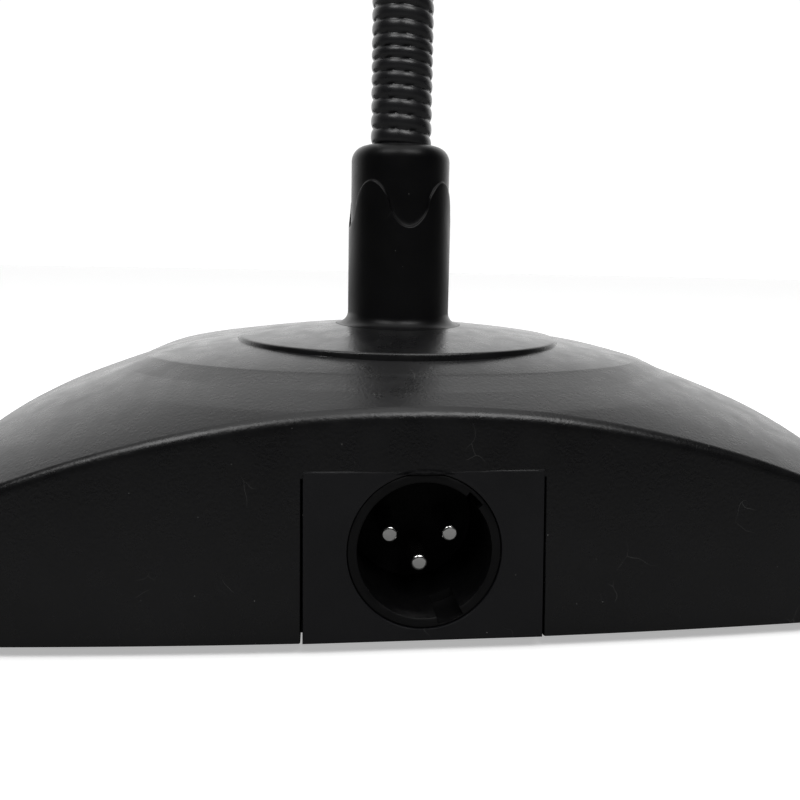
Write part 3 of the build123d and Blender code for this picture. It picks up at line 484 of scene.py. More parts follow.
DOME_CURVE = tuple(np.concatenate((natural_spline(DOME_CROWN), natural_spline(DOME_SKIRT)), 1))
disc_t = np.linspace(0, 0.99, 60)
disc_heights = DISC_CROWN + (DISC_EDGE - DISC_CROWN) * (3 * disc_t**2 - 2 * disc_t**3)
disc_heights += DISC_END_SLOPE * DISC_RADIUS * (disc_t**3 - disc_t**2)
DISC_LIP = ((-0.05, -0.02), (0.06, -0.09), (0.13, -0.18))
DISC_FOOT = ((DISC_RUN, -DISC_STEP), (1.3 * DISC_RUN, -4 * DISC_STEP), (DISC_RADIUS, -DISC_EDGE))
DISC_CURVE = (
    np.append(disc_t * DISC_RADIUS, [DISC_RADIUS + r for r, _ in DISC_LIP + DISC_FOOT]),
    np.append(disc_heights, [DISC_EDGE + z for _, z in DISC_LIP + DISC_FOOT]),
)


def turned_height(x, y, curve, rear, front, tilt):
    """Height above the rim of a turned, stretched and tilted surface at a spot."""
    z = np.full_like(x, curve[1][0])
    away = y - NECK.y
    radius = np.hypot(x, away)
    for _ in range(14):
        flat = (away - z * sin(tilt)) / cos(tilt)
        stretch = np.where(flat > 0, np.interp(radius, *rear), front)
        radius = (radius + np.hypot(x, flat / stretch)) / 2
        z = np.interp(radius, *curve)
    return z * cos(tilt) - flat * sin(tilt)


def shoulder_height(x, inset):
    """Height above the rim of the rounded long shoulders."""
    half, radius = HALF_WIDTH - inset, SHOULDER_RADIUS - inset
    crown = SHOULDER_CROWN - inset / cos(SHOULDER_SLOPE)
    system = ((sin(SHOULDER_SLOPE), cos(SHOULDER_SLOPE)), (cos(WALL_DRAFT), sin(WALL_DRAFT)))
    right = (crown * cos(SHOULDER_SLOPE) - radius, half * cos(WALL_DRAFT) - radius)
    centre = np.linalg.solve(system, right)
    across = np.abs(x)
    arc = centre[1] + np.sqrt(np.maximum(radius**2 - (across - centre[0]) ** 2, 0))
    roof = crown - across * tan(SHOULDER_SLOPE)
    wall = (half - across) / tan(WALL_DRAFT)
    start, end = centre[0] + radius * sin(SHOULDER_SLOPE), centre[0] + radius * cos(WALL_DRAFT)
    return np.where(across < start, roof, np.where(across < end, arc, wall))


def top_height(x, y, inset=0.0, drop=0.0):
    """Height above the rim of the cover's top, or of its underside with an inset and a drop."""
    dome = turned_height(x, y, DOME_CURVE, REAR_STRETCH, FRONT_STRETCH, DOME_TILT) - drop
    if not drop:
        disc = turned_height(x, y, DISC_CURVE, ((0.0,), (DISC_STRETCH,)), DISC_STRETCH, DISC_TILT)
        dome = np.maximum(dome, disc)
    side = shoulder_height(x, inset)
    overlap = np.clip(1 - np.abs(dome - side) / BLEND, 0, 1)
    return np.minimum(dome, side) - overlap**2 * BLEND / 4


# Points along the rim from the middle of the rear to the panel's edge
OPENING_SIDE = 12


def footprint():
    """Points round the rim from the middle of the rear, with the outward angle at each, measured from +Y."""
    angles, spots = [], []

    def arc(centre, radius, start, end, count):
        for angle in np.linspace(start, end, count, endpoint=False):
            angles.append(angle)
            spots.append((centre[0] + radius * sin(angle), centre[1] + radius * cos(angle)))

    rear_centre = (0, HALF_LENGTH - REAR_BOW)
    front_centre = (0, FRONT_BOW - HALF_LENGTH)
    rear_reach = HALF_WIDTH - REAR_CORNER
    front_reach = HALF_WIDTH - FRONT_CORNER
    rear_turn = np.arcsin(rear_reach / (REAR_BOW - REAR_CORNER))
    front_turn = pi - np.arcsin(front_reach / (FRONT_BOW - FRONT_CORNER))
    rear_y = rear_centre[1] + (REAR_BOW - REAR_CORNER) * cos(rear_turn)
    front_y = front_centre[1] + (FRONT_BOW - FRONT_CORNER) * cos(front_turn)
    opening = np.arcsin((PANEL_SPAN + PANEL_GAP) / REAR_BOW)
    arc(rear_centre, REAR_BOW, 0, opening, OPENING_SIDE)
    arc(rear_centre, REAR_BOW, opening, rear_turn, 26)
    arc((rear_reach, rear_y), REAR_CORNER, rear_turn, pi / 2, 34)
    for y in np.linspace(rear_y, front_y, 44, endpoint=False):
        angles.append(pi / 2)
        spots.append((HALF_WIDTH, y))
    arc((front_reach, front_y), FRONT_CORNER, pi / 2, front_turn, 44)
    arc(front_centre, FRONT_BOW, front_turn, pi, 16)
    angles.append(pi)
    spots.append((0, -HALF_LENGTH))
    mirrored_angles = [-a for a in angles[-2:0:-1]]
    mirrored_spots = [(-x, y) for x, y in spots[-2:0:-1]]
    return np.array(spots + mirrored_spots), np.array(angles + mirrored_angles)


# The rings of the mesh lie closer together at the terraces' edges
DOME_RINGS = (42.6, 41.5, 40.8, 40.6, 40.5, 40.4, 40.1, 39.3, 38.4)
DOME_RINGS += (37.8, 37.45, 37.3, 37.2, 36.8, 35.6, 33.6, 31.4)
PAST_DISC = (0.9, 0.6, 0.45, 0.36, 0.3, 0.25, 0.19, 0.13, 0.06)
INSIDE_DISC = (0.05, 0.2, 0.5, 1.2, 2.4, 4.0, 5.8, 7.6, 9.2)
DISC_RINGS = [DISC_RADIUS + r for r in PAST_DISC] + [DISC_RADIUS - r for r in INSIDE_DISC]


def shell_surface(inset, drop, floor_rows):
    """Rows of points up the wall and over the top to the neck's seat, for one side of the shell."""
    spots, angles = footprint()
    outward = np.stack((np.sin(angles), np.cos(angles)), 1)
    spots = spots - outward * inset

    def wall(z):
        return spots - outward * (np.asarray(z) * tan(WALL_DRAFT))[:, None]

    # The wall's top edge is the highest point of the wall that is still under the top
    heights = np.linspace(4, 46, 600)
    above = np.array([top_height(*wall(np.full(len(spots), z)).T, inset, drop) - z for z in heights])
    last = len(heights) - 1 - np.argmax((above > -0.02)[::-1], axis=0)
    edge_z = heights[last]
    edge = wall(edge_z)
    rows = []
    for back, z in floor_rows:
        level = np.full(len(spots), z)
        rows.append(np.column_stack((wall(level) - outward * back, level)))
    trimmed = edge_z - EDGE_ROUNDING
    split = np.minimum(PANEL_TOP + PANEL_GAP, 0.735 * edge_z)

    def climb(start, end, steps):
        for t in np.linspace(0, 1, steps + 1)[1:]:
            z = start + (end - start) * t
            rows.append(np.column_stack((wall(z), z)))

    climb(floor_rows[-1][1], split, 14)
    opening_row = len(rows) - 1
    climb(split, trimmed, 8)
    # Directions towards the neck, and the first spot past the rounded edge
    centre = np.array((0, NECK.y))
    inwards = centre - edge
    far = np.linalg.norm(inwards, axis=1)
    unit = inwards / far[:, None]
    lip = edge + unit * EDGE_ROUNDING
    lip_z = top_height(*lip.T, inset, drop)
    corner = np.column_stack((edge, edge_z))
    low, high = rows[-1], np.column_stack((lip, lip_z))
    for t in np.linspace(0, 1, 7)[1:]:
        rows.append(low * (1 - t) ** 2 + corner * 2 * t * (1 - t) + high * t**2)
    # Rings that follow the terraces, from the outside in
    away = -unit

    def ring(radius, stretch_y, curve, tilt):
        flat = away * (radius / np.hypot(away[:, 0], away[:, 1] / stretch_y))[:, None]
        lift = np.interp(radius, *curve)
        return np.column_stack((flat[:, 0], NECK.y + flat[:, 1] * cos(tilt) + lift * sin(tilt)))

    def dome_ring(radius):
        stretch = np.where(away[:, 1] > 0, np.interp(radius, *REAR_STRETCH), FRONT_STRETCH)
        return ring(radius, stretch, DOME_CURVE, DOME_TILT)

    def on_top(spot):
        rows.append(np.column_stack((spot, top_height(*spot.T, inset, drop))))

    outer_ring = dome_ring(DOME_RINGS[0])
    for t in (np.linspace(0, 1, 34)[1:-1] ** 1.7).tolist():
        on_top(lip + (outer_ring - lip) * t)
    for radius in DOME_RINGS:
        on_top(dome_ring(radius))
    disc_outer = ring(DISC_RINGS[0], DISC_STRETCH, DISC_CURVE, DISC_TILT)
    for t in (0.3, 0.6, 0.85):
        on_top(dome_ring(DOME_RINGS[-1]) * (1 - t) + disc_outer * t)
    for radius in DISC_RINGS:
        on_top(ring(radius, DISC_STRETCH, DISC_CURVE, DISC_TILT))
    last_ring = ring(DISC_RINGS[-1], DISC_STRETCH, DISC_CURVE, DISC_TILT)
    for t in (0.35, 0.7, 0.92):
        on_top(last_ring * (1 - t) + (centre + away * BOOT_SEAT_RADIUS) * t)
    on_top(centre + away * (BUSH_BORE if drop else BOOT_SEAT_RADIUS))
    return rows, opening_row


def base_cover():
    """The moulded cover as one closed shell, with the openings for the panel, the button and its light."""
    outer, opening = shell_surface(0.0, 0.0, ((0.14, 0.0), (0.04, 0.04), (0.0, 0.14)))
    inner, _ = shell_surface(SIDE_WALL, ROOF, ((0, 0.0), (0, 0.04), (0, 0.14)))
    seat = outer[-1].copy()
    seat[:, 2] = BOOT_SEAT
    bore = inner[-1].copy()
    bore[:, 2] = BOOT_SEAT
    rows = outer + [seat, bore] + inner[::-1]
    columns = len(outer[0])
    points = np.concatenate(rows)
    points[:, 2] += RIM
    count = len(rows)

    def in_opening(row, column):
        beside = column < OPENING_SIDE or column >= columns - OPENING_SIDE
        low = row < opening or row >= count - 1 - opening
        return beside and low

    def index(row, column):
        return row * columns + column % columns

    def through(first, second):
        """A face between an outside edge and the same edge inside."""
        inside = [(count - 1 - row, column) for row, column in (second, first)]
        return tuple(index(*spot) for spot in (first, second, *inside))

    faces = grid_faces(count, columns, wrap_rows=True, wrap_columns=True, skip=in_opening)
    # The opening's own walls join the outside of the shell to its inside
    for row in range(opening):
        for column in (OPENING_SIDE, -OPENING_SIDE):
            faces.append(through((row, column), (row + 1, column)))
    for column in range(-OPENING_SIDE, OPENING_SIDE):
        faces.append(through((opening, column), (opening, column + 1)))
    shell = add_mesh("cover_shell", points, faces)
    soften_opening(shell, points[index(0, OPENING_SIDE)], points[index(opening, OPENING_SIDE)])
    return shell


def soften_opening(shell, low, high):
    """Round the outer edges of the panel's opening."""
    bm = bmesh.new()
    bm.from_mesh(shell.data)
    near = 0.02 * MM
    span, top = abs(low[0]) * MM, high[2] * MM
    chosen = []
    for edge in bm.edges:
        a, b = (v.co for v in edge.verts)
        rear = (HALF_LENGTH - 3.2) * MM - 0.12 * max(a.z, b.z)
        if min(a.y, b.y) < rear or len(edge.link_faces) != 2:
            continue
        on_sides = all(abs(abs(spot.x) - span) < 0.6 * MM for spot in (a, b)) and a.x * b.x > 0
        on_top = all(abs(spot.z - top) < near and abs(spot.x) < span + near for spot in (a, b))
        outside = min(spot.y + spot.z * tan(WALL_DRAFT) for spot in (a, b))
        sharp = edge.calc_face_angle(0) > radians(60) and max(a.z, b.z) < top + near
        if sharp and (on_sides or on_top) and abs(a.y - b.y) < 1.0 * MM:
            if outside > (HALF_LENGTH - 0.6) * MM:
                chosen.append(edge)
    bmesh.ops.bevel(bm, geom=chosen, offset=0.18 * MM, segments=3, profile=0.5, affect="EDGES")
    bm.to_mesh(shell.data)
    bm.free()
    finish_mesh(shell.data, 32)


BEZEL_RADIUS, BEZEL_RISE, BARREL_RADIUS, BARREL_LENGTH, BEZEL_SEAT = 10.5, 1.2, 9.2, 7.5, 1.0
CUT_CLEARANCE = 0.05


def button_place():
    """Where the talk button's axis leaves the dome."""
    axis = Vector(joints["button_press"]["axis"])
    low, high = (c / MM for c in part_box("button_bezel"))
    middle = (low + high) / 2
    top = reach("button_bezel", standing(middle, axis))[1]
    return standing(middle + axis * (top - BEZEL_RISE), axis)


BUTTON = button_place()
cover = base_cover()
hole_radius, seat_radius = BARREL_RADIUS + CUT_CLEARANCE, BEZEL_RADIUS + CUT_CLEARANCE
seat_outline = (
    (0, -14, 0),
    (hole_radius, -14, 0),
    (hole_radius, -BEZEL_SEAT, 0),
    (seat_radius, -BEZEL_SEAT, 0),
    (seat_radius, 5, 0),
    (0, 5, 0),
)
carve(cover, lathe("seat_cut", seat_outline, BUTTON, 96))
pipe_low, pipe_high = (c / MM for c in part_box("status_light_pipe"))
PIPE = standing(((pipe_low.x + pipe_high.x) / 2, (pipe_low.y + pipe_high.y) / 2, 0), (0, 0, 1))
PIPE_RADIUS = 1.55
pipe_hole = tube_outline(0, PIPE_RADIUS + CUT_CLEARANCE, 14, 60)
carve(cover, lathe("pipe_cut", pipe_hole, PIPE, 48))
dress(cover, "base_plastic", "root", "base_cover")

# -------- neck boot
BOOT_RADIUS, BOOT_TOP_RADIUS, BOOT_FLARE, BOOT_FOOT_GAP = 7.65, 7.3, 1.8, 0.03
WAVE_LOW, WAVE_HIGH = 49.7, 56.2
BOOT_TOP, BOOT_ROUNDING, BOOT_BORE = 61.6, 2.2, 4.8
WAVE_TURN, WAVE_FULLNESS = radians(4.5), 0.65
# Rise above the wave and cut into the boot along the ledge
LEDGE = ((-0.24, 0.0), (-0.12, 0.01), (-0.04, 0.04), (0.03, 0.10), (0.09, 0.2), (0.14, 0.31), (0.2, 0.35))


def neck_boot():
    """The boot: a flared foot, a wavy ledge and a rounded mouth."""
    segments = 192
    middle, swing = (WAVE_LOW + WAVE_HIGH) / 2, (WAVE_HIGH - WAVE_LOW) / 2
    columns = []
    turns = 2 * pi * np.arange(segments) / segments
    seat = BOOT_SEAT_RADIUS + 0.02
    feet = top_height(seat * np.sin(turns), NECK.y + seat * np.cos(turns)) + BOOT_FOOT_GAP
    for angle, foot_top in zip(turns, feet):
        flare_top = foot_top + BOOT_FLARE
        swell = cos(4 * (angle + WAVE_TURN))
        wave = middle - swing * copysign(abs(swell) ** WAVE_FULLNESS, swell)
        column = [(BOOT_BORE, BOOT_SEAT + 1), (BOOT_BORE, BOOT_SEAT)]
        column.append((BOOT_RADIUS + BOOT_FLARE, BOOT_SEAT))
        for step in range(9):
            sweep = step / 8 * pi / 2
            flare = BOOT_FLARE * (1 - sin(sweep))
            column.append((BOOT_RADIUS + flare, flare_top - BOOT_FLARE * cos(sweep)))
        for t in (0.2, 0.4, 0.6, 0.8, 0.94):
            column.append((BOOT_RADIUS, flare_top + (wave - 0.3 - flare_top) * t))
        column += [(BOOT_RADIUS - cut, wave + rise) for rise, cut in LEDGE]
        mouth = BOOT_TOP - BOOT_ROUNDING
        for t in (0.08, 0.3, 0.55, 0.8, 1.0):
            column.append((BOOT_TOP_RADIUS, wave + 0.2 + (mouth - wave - 0.2) * t))
        for step in range(1, 9):
            sweep = step / 8 * pi / 2
            inwards = BOOT_ROUNDING * (1 - cos(sweep))
            column.append((BOOT_TOP_RADIUS - inwards, mouth + BOOT_ROUNDING * sin(sweep)))
        column.append((BOOT_BORE, BOOT_TOP))
        columns.append([(r * sin(angle), NECK.y + r * cos(angle), z + RIM) for r, z in column])
    points = [spot for row in zip(*columns) for spot in row]
    faces = grid_faces(len(columns[0]), segments, wrap_rows=True, wrap_columns=True)
    return add_mesh("boot", points, faces, 50)


dress(neck_boot(), "boot_plastic", "root", "neck_boot")

# -------- connector panel
INLET_HEIGHT, BORE, RING = 10.83, 8.1, 9.25
wall_up = Vector((0, -sin(WALL_DRAFT), cos(WALL_DRAFT)))
wall_out = Vector((0, cos(WALL_DRAFT), sin(WALL_DRAFT)))
PANEL_PLACE = placed((0, HALF_LENGTH, RIM), (-1, 0, 0), wall_up, wall_out)
INLET = placed(PANEL_PLACE @ Vector((0, INLET_HEIGHT, 0)), (-1, 0, 0), (0, 0, 1), (0, 1, 0))


def connector_panel():
    """The flat insert with softened edges and a round hole for the inlet."""
    ends = (-INLET_HEIGHT, PANEL_TOP - INLET_HEIGHT)
    corners = [atan2(y, x) for x in (-PANEL_SPAN, PANEL_SPAN) for y in ends]
    turns = sorted([2 * pi * k / 120 - pi for k in range(120)] + corners)

    def rim_spot(turn, inset):
        x, y = cos(turn), sin(turn)
        tall = (PANEL_TOP - INLET_HEIGHT if y > 0 else INLET_HEIGHT) - inset
        far = min((PANEL_SPAN - inset) / max(abs(x), 1e-9), tall / max(abs(y), 1e-9))
        return x * far, y * far

    def hole_spot(turn, radius):
        return radius * cos(turn), radius * sin(turn) / cos(WALL_DRAFT)

    hole = RING + 0.06
    rows = []
    for grow, depth in ((0, -5.0), (0, -0.2), (0.05, -0.06), (0.2, 0), (0.5, 0)):
        rows.append([(*hole_spot(t, hole + grow), depth) for t in turns])
    for inset, depth in ((0.5, 0), (0.2, 0), (0.06, -0.06), (0, -0.2), (0, -3.1)):
        rows.append([(*rim_spot(t, inset), depth) for t in turns])
    points = [PANEL_PLACE @ Vector((x, y + INLET_HEIGHT, z)) for row in rows for x, y, z in row]
    return add_mesh("rear_panel", points, grid_faces(len(rows), len(turns), True, True), 30)


dress(connector_panel(), "panel_plastic", "root", "xlr_panel")

# -------- connector shell and contacts
KEY_TURN, KEY_WIDTH, KEY_REACH = radians(45), 2.1, 8.75
LATCH_TURN, LATCH_WIDTH, LATCH_DEPTH = radians(-69), 3.0, 6.0
INSERT_DEPTH, SHELL_DEPTH = 13.5, 17.5


def inlet_shell():
    """The inlet's sleeve, with its keyway and its latch slot."""
    step = 2 * pi / 180
    turns = [k * step - pi for k in range(180)]
    cuts = []
    for middle, width, far, depth in (
        (KEY_TURN, KEY_WIDTH, KEY_REACH, INSERT_DEPTH),
        (LATCH_TURN, LATCH_WIDTH, RING - 0.12, LATCH_DEPTH),
    ):
        half = width / 2 / BORE
        cuts.append((middle, half, far, depth))
        turns += [middle - half, middle - half + 0.004, middle + half - 0.004, middle + half]
    turns = sorted(turns)

    def bore_at(turn, deep):
        for middle, half, far, depth in cuts:
            if abs(turn - middle) < half - 0.002 and deep < depth - 0.05:
                return far
        return BORE

    rows = []
    for deep in (INSERT_DEPTH + 0.2, LATCH_DEPTH + 0.05, LATCH_DEPTH - 0.1, 2.0, 0.42):
        rows.append([(bore_at(t, deep), t, -deep) for t in turns])
    rows.append([(bore_at(t, 0) + 0.05, t, -0.26) for t in turns])
    rows.append([(min(bore_at(t, 0) + 0.2, RING - 0.1), t, -0.18) for t in turns])
    rim = ((RING - 0.2, 0.18), (RING - 0.05, 0.24), (RING, 0.38))
    for radius, deep in (*rim, (RING, SHELL_DEPTH), (BORE, SHELL_DEPTH)):
        rows.append([(radius, t, -deep) for t in turns])
    points = []
    for number, row in enumerate(rows):
        for radius, turn, depth in row:
            x, y = radius * cos(turn), radius * sin(turn)
            leaning = -y * tan(WALL_DRAFT) if 3 < number < 10 else 0
            points.append(INLET @ Vector((x, y, depth + leaning)))
    return add_mesh("inlet_sleeve", points, grid_faces(len(rows), len(turns), True, True), 35)


dress(inlet_shell(), "shell_metal", "root", "xlr_shell")

PIN_RADIUS, PIN_TIP, TAIL_RADIUS, TAIL_LENGTH = 1.2, 4.7, 0.9, 3.5
PIN_SPOTS = ((-3.81, 0.6), (3.81, 0.6), (0.0, -3.15))
for number, (pin_x, pin_y) in enumerate(PIN_SPOTS, 1):
    place = INLET @ Matrix.Translation((pin_x, pin_y, 0))
    tail = -SHELL_DEPTH - TAIL_LENGTH
    pin_outline = (
        (0, -PIN_TIP, 0),
        (PIN_RADIUS, -PIN_TIP, 1.1),
        (PIN_RADIUS, -SHELL_DEPTH, 0),
        (TAIL_RADIUS, -SHELL_DEPTH, 0),
        (TAIL_RADIUS, tail, 0.2),
        (0, tail, 0),
    )
    pin = lathe("contact_pin_" + str(number), pin_outline, place, 40, 8, 60)
    dress(pin, "contact_silver", "root", "xlr_pins")
insert_outline = tube_outline(0, BORE - 0.03, -INSERT_DEPTH, -SHELL_DEPTH, 0.15)
insert = lathe("contact_insert", insert_outline, INLET, 96)
dress(insert, "insert_plastic", "root", "xlr_insert")

# -------- talk button and its light
bezel_outline = (
    (8.0, -BARREL_LENGTH, 0),
    (BARREL_RADIUS, -BARREL_LENGTH, 0.2),
    (BARREL_RADIUS, -BEZEL_SEAT, 0),
    (BEZEL_RADIUS, -BEZEL_SEAT, 0),
    (BEZEL_RADIUS, BEZEL_RISE, 0.5),
    (9.3, BEZEL_RISE, 0.15),
    (8.9, 1.0, 0.15),
    (8.35, 1.0, 0.15),
    (8.0, 0.7, 0.15),
)
dress(lathe("button_ring", bezel_outline, BUTTON, 128), "bezel_metal", "root", "button_bezel")
cap_low, cap_high, cap_radius = reach("power_button", BUTTON)
dish = 4 * cap_radius
cap_outline = [(0, cap_low, 0), (1.5, cap_low, 0.2), (1.5, -1.0, 0), (cap_radius, -1.0, 0.15)]
cap_outline.append((cap_radius, cap_high, 0.8))
for share in (0.86, 0.8, 0.65, 0.5, 0.35, 0.2, 0):
    r = share * cap_radius
    cap_outline.append((r, cap_high + (dish - sqrt(dish**2 - r**2)) - 0.55, 0))
cap = lathe("button_cap", cap_outline, BUTTON, 128)
dress(cap, "button_cap", "button", "power_button")
# The spring shortens as the cap goes in; here it is a plain copy of the CAD spring
cad_spring = frame["nodes"]["button_spring"]
spring = new_object("button_coil", cad_spring.data.copy())
spring.matrix_world = cad_spring.matrix_world.copy()
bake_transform(spring)
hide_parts("button_spring")
pipe_outline = tube_outline(0, PIPE_RADIUS, pipe_low.z, pipe_high.z, 0.1, 0.7)
pipe = lathe("button_light", pipe_outline, PIPE, 48)
dress(pipe, "light_pipe", "root", "status_light_pipe")

# -------- gooseneck
COIL_PITCH, COIL_DEPTH = 1.95, 0.5
NECK_RADIUS, LEAD_BORE = 4.5, 2.2
HALF_LINK = 6.5


def coil_piece(name, joint, before, after, start_phase, slack):
    """One joint's stretch of wound tube: it follows the link below and then the link above."""
    point = joint_point(joint)
    below, above = before.normalized(), after.normalized()
    start, end = point - below * slack[0], point + above * slack[1]
    length = slack[0] + slack[1]
    rings = int(length / COIL_PITCH * 10)
    segments = 56
    sideways = Vector((1, 0, 0))
    points = []
    for ring in range(rings + 1):
        t = ring / rings
        middle = start * (1 - t) ** 2 + point * 2 * t * (1 - t) + end * t**2
        along = ((point - start) * (1 - t) + (end - point) * t).normalized()
        across = along.cross(sideways).normalized()
        for turn in range(segments):
            angle = 2 * pi * turn / segments
            phase = (start_phase + t * length) / COIL_PITCH + turn / segments
            wave = 2 * (phase - floor(phase)) - 1
            radius = NECK_RADIUS - COIL_DEPTH * (1 - sqrt(max(0.0, 1 - wave * wave * 0.98)))
            points.append(middle + sideways * radius * cos(angle) + across * radius * sin(angle))
    faces = grid_faces(rings + 1, segments, wrap_columns=True)
    faces.append(tuple(range(segments)))
    faces.append(tuple(rings * segments + k for k in range(segments)))
    return add_mesh(name, points, faces, 60), start_phase + length


def neck_section(section, root_direction, low_slack, high_slack, end_direction):
    """All the wound pieces of one flexible section."""
    names = [section + kind + str(k) for k in (1, 2, 3) for kind in ("_bend_", "_sway_")]
    stops = [joint_point(n) for n in names]
    directions = [root_direction, *(b - a for a, b in zip(stops, stops[1:])), end_direction]
    lows = [low_slack] + [HALF_LINK] * (len(names) - 1)
    highs = [HALF_LINK] * (len(names) - 1) + [high_slack]
    phase = 0.0
    for number, (name, point, low, high) in enumerate(zip(names, stops, lows, highs), 1):
        before, after = directions[number - 1 : number + 1]
        title = "wound_" + section + "_" + str(number)
        piece, phase = coil_piece(title, name, before, after, phase, (low, high))
        piece.data.materials.append(MATERIALS["neck_black"])
        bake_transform(piece)
        if number < len(names):
            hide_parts("flex_" + section + "_" + str(number))
        if number == 1 and section == "lower":
            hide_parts("neck_stub")


tube_start, tube_end = joint_point("lower_sway_3"), joint_point("upper_bend_1")
tube_axis = (tube_end - tube_start).normalized()
head_axis = Vector(joints["windscreen_pull"]["axis"])
neck_section("lower", Vector((0, 0, 1)), 10.0, 5.0, tube_axis)
neck_section("upper", tube_axis, 5.0, 0.8, head_axis)

TUBE = standing(tube_start, tube_axis)
tube_high = reach("middle_tube", TUBE)[1] - 1.2
for name, node_name in (("sleeve_lower", "lower_ferrule"), ("sleeve_upper", "upper_ferrule")):
    low, high, outside = reach(node_name, TUBE)
    half_outline = (
        (4.56, 0, 0),
        (outside - 0.15, 0, 0.3),
        (outside, 1.2, 0.3),
        (outside, 4.2, 0.15),
        (outside - 0.22, 4.5, 0.1),
        (outside - 0.22, 5.1, 0.1),
        (outside, 5.4, 0.15),
    )
    sleeve_outline = [(r, low + z, rounding) for r, z, rounding in half_outline]
    sleeve_outline += [(r, high - z, rounding) for r, z, rounding in half_outline[::-1]]
    sleeve = lathe(name, sleeve_outline, TUBE, 96)
    dress(sleeve, "ferrule_black", "middle", node_name)
middle_outline = tube_outline(LEAD_BORE, NECK_RADIUS, 4.6, tube_high, 0.2, 0.2)
dress(lathe("rigid_tube", middle_outline, TUBE, 96), "tube_black", "middle", "middle_tube")

# -------- head
HEAD = standing(joint_point("upper_sway_3"), head_axis)
head_nodes = ("head_stem", "ring_light", "mic_body", "mic_grille")
stem_end, ring_end, body_end, grille_end = (reach(name, HEAD)[1] for name in head_nodes)
STEM_RADIUS, LENS_RADIUS, MIC_RADIUS, MIC_BORE = 6.0, 6.8, 6.5, 5.5
stem_outline = (
    (LEAD_BORE, 0.3, 0),
    (4.4, 0.3, 0.2),
    (4.6, 0.6, 0.2),
    (STEM_RADIUS, 2.2, 0.5),
    (STEM_RADIUS, 8.0, 0.12),
    (STEM_RADIUS - 0.25, 8.2, 0.08),
    (STEM_RADIUS - 0.25, 8.8, 0.08),
    (STEM_RADIUS, 9.0, 0.12),
    (STEM_RADIUS, stem_end, 0.25),
    (LEAD_BORE, stem_end, 0),
)
dress(lathe("head_collar", stem_outline, HEAD, 96), "ferrule_black", "head", "head_stem")
ring_outline = tube_outline(LEAD_BORE, LENS_RADIUS, stem_end + 0.02, ring_end - 0.02, 0.5, 0.5)
dress(lathe("light_ring", ring_outline, HEAD, 96, 6), "ring_lens", "head", "ring_light")
barrel_outline = [(MIC_BORE, ring_end + 1, 0), (LEAD_BORE, ring_end + 1, 0)]
barrel_outline += [(LEAD_BORE, ring_end, 0), (MIC_RADIUS, ring_end, 0.3)]
for groove in (ring_end + 2.0, body_end - 3.2):
    barrel_outline += [
        (MIC_RADIUS, groove, 0.1),
        (MIC_RADIUS - 0.25, groove + 0.2, 0.06),
        (MIC_RADIUS - 0.25, groove + 0.7, 0.06),
        (MIC_RADIUS, groove + 0.9, 0.1),
    ]
barrel_outline += [(MIC_RADIUS, body_end, 0.2), (MIC_BORE, body_end, 0.1)]
dress(lathe("mic_barrel", barrel_outline, HEAD, 96), "head_black", "head", "mic_body")


def grille():
    """A cap of woven wire with open holes, in a thin base band."""
    turns, rows, straight_rows, wire_radius = 48, 22, 14, 6.2
    bottom, straight = body_end + 0.9, grille_end - 3.25
    points = []
    for row in range(rows + 1):
        radius, height = wire_radius, bottom + (straight - bottom) * row / straight_rows
        if row > straight_rows:
            sweep = (row - straight_rows) / (rows - straight_rows) * pi / 2 * 0.93
            radius, height = wire_radius * cos(sweep), straight + 2.95 * sin(sweep)
        for turn in range(turns):
            angle = 2 * pi * (turn + row % 2 / 2) / turns
            points.append(HEAD @ around(radius, angle, height))
    faces = []
    for row in range(rows - 1):
        for turn in range(turns):
            left = (row + 1) * turns + (turn + row % 2) % turns
            right = (row + 1) * turns + (turn + row % 2 - 1) % turns
            faces.append((row * turns + turn, left, (row + 2) * turns + turn, right))
    cap_row = rows * turns
    faces.append(tuple(cap_row + k for k in range(turns)))
    piece = add_mesh("wire_grille", points, faces, 60)
    wires = piece.modifiers.new("wires", "WIREFRAME")
    wires.thickness = 0.26 * MM
    wires.use_even_offset = True
    apply_modifiers(piece, 60)
    return piece


dress(grille(), "grille_steel", "head", "mic_grille")
band_top = body_end + 1.1
band_outline = [(5.9, body_end, 0), (MIC_RADIUS, body_end, 0.15)]
band_outline += [(MIC_RADIUS, band_top, 0.2), (5.9, band_top, 0.1)]
dress(lathe("grille_band", band_outline, HEAD, 96), "grille_steel", "head")


def windscreen():
    """The foam windscreen, with its open pores as real relief."""
    low, high, radius = reach("foam_windscreen", HEAD)
    bore = 6.9
    outline = [(bore, low + 29.0), (bore, low + 0.8), (bore + 0.5, low + 0.2), (radius - 2.2, low)]
    steps = 190
    side = high - radius
    for k in range(9):
        turn = k / 8 * pi / 2
        outline.append((radius - 2 + 2 * sin(turn), low + 2 - 2 * cos(turn)))
    cap_share = radius * pi / 2 / (radius * pi / 2 + side - low - 2)
    straight_steps = int(steps * (1 - cap_share))
    for k in range(1, straight_steps + 1):
        outline.append((radius, low + 2 + (side - low - 2) * k / straight_steps))
    for k in range(1, steps - straight_steps + 1):
        turn = k / (steps - straight_steps) * pi / 2
        outline.append((radius * cos(turn), side + radius * sin(turn)))
    outline.append((0, low + 29.35))
    segments = 260
    points = []
    for index, (r, z) in enumerate(outline):
        for turn in range(segments):
            angle = 2 * pi * turn / segments
            local = around(r, angle, z)
            if index > 3 and r > 0.01 and index < len(outline) - 1:
                near = noise.voronoi(local / 1.05)[0][0]
                wide = noise.noise(local / 6.0)
                depth = 0.42 * max(0.0, 0.62 - near) + 0.12 * (wide + 0.6)
                local -= around(r, angle, max(0.0, z - side)).normalized() * depth
            points.append(HEAD @ local)
    faces = grid_faces(len(outline), segments, wrap_rows=True, wrap_columns=True)
    return add_mesh("foam_cover", points, faces, 80)


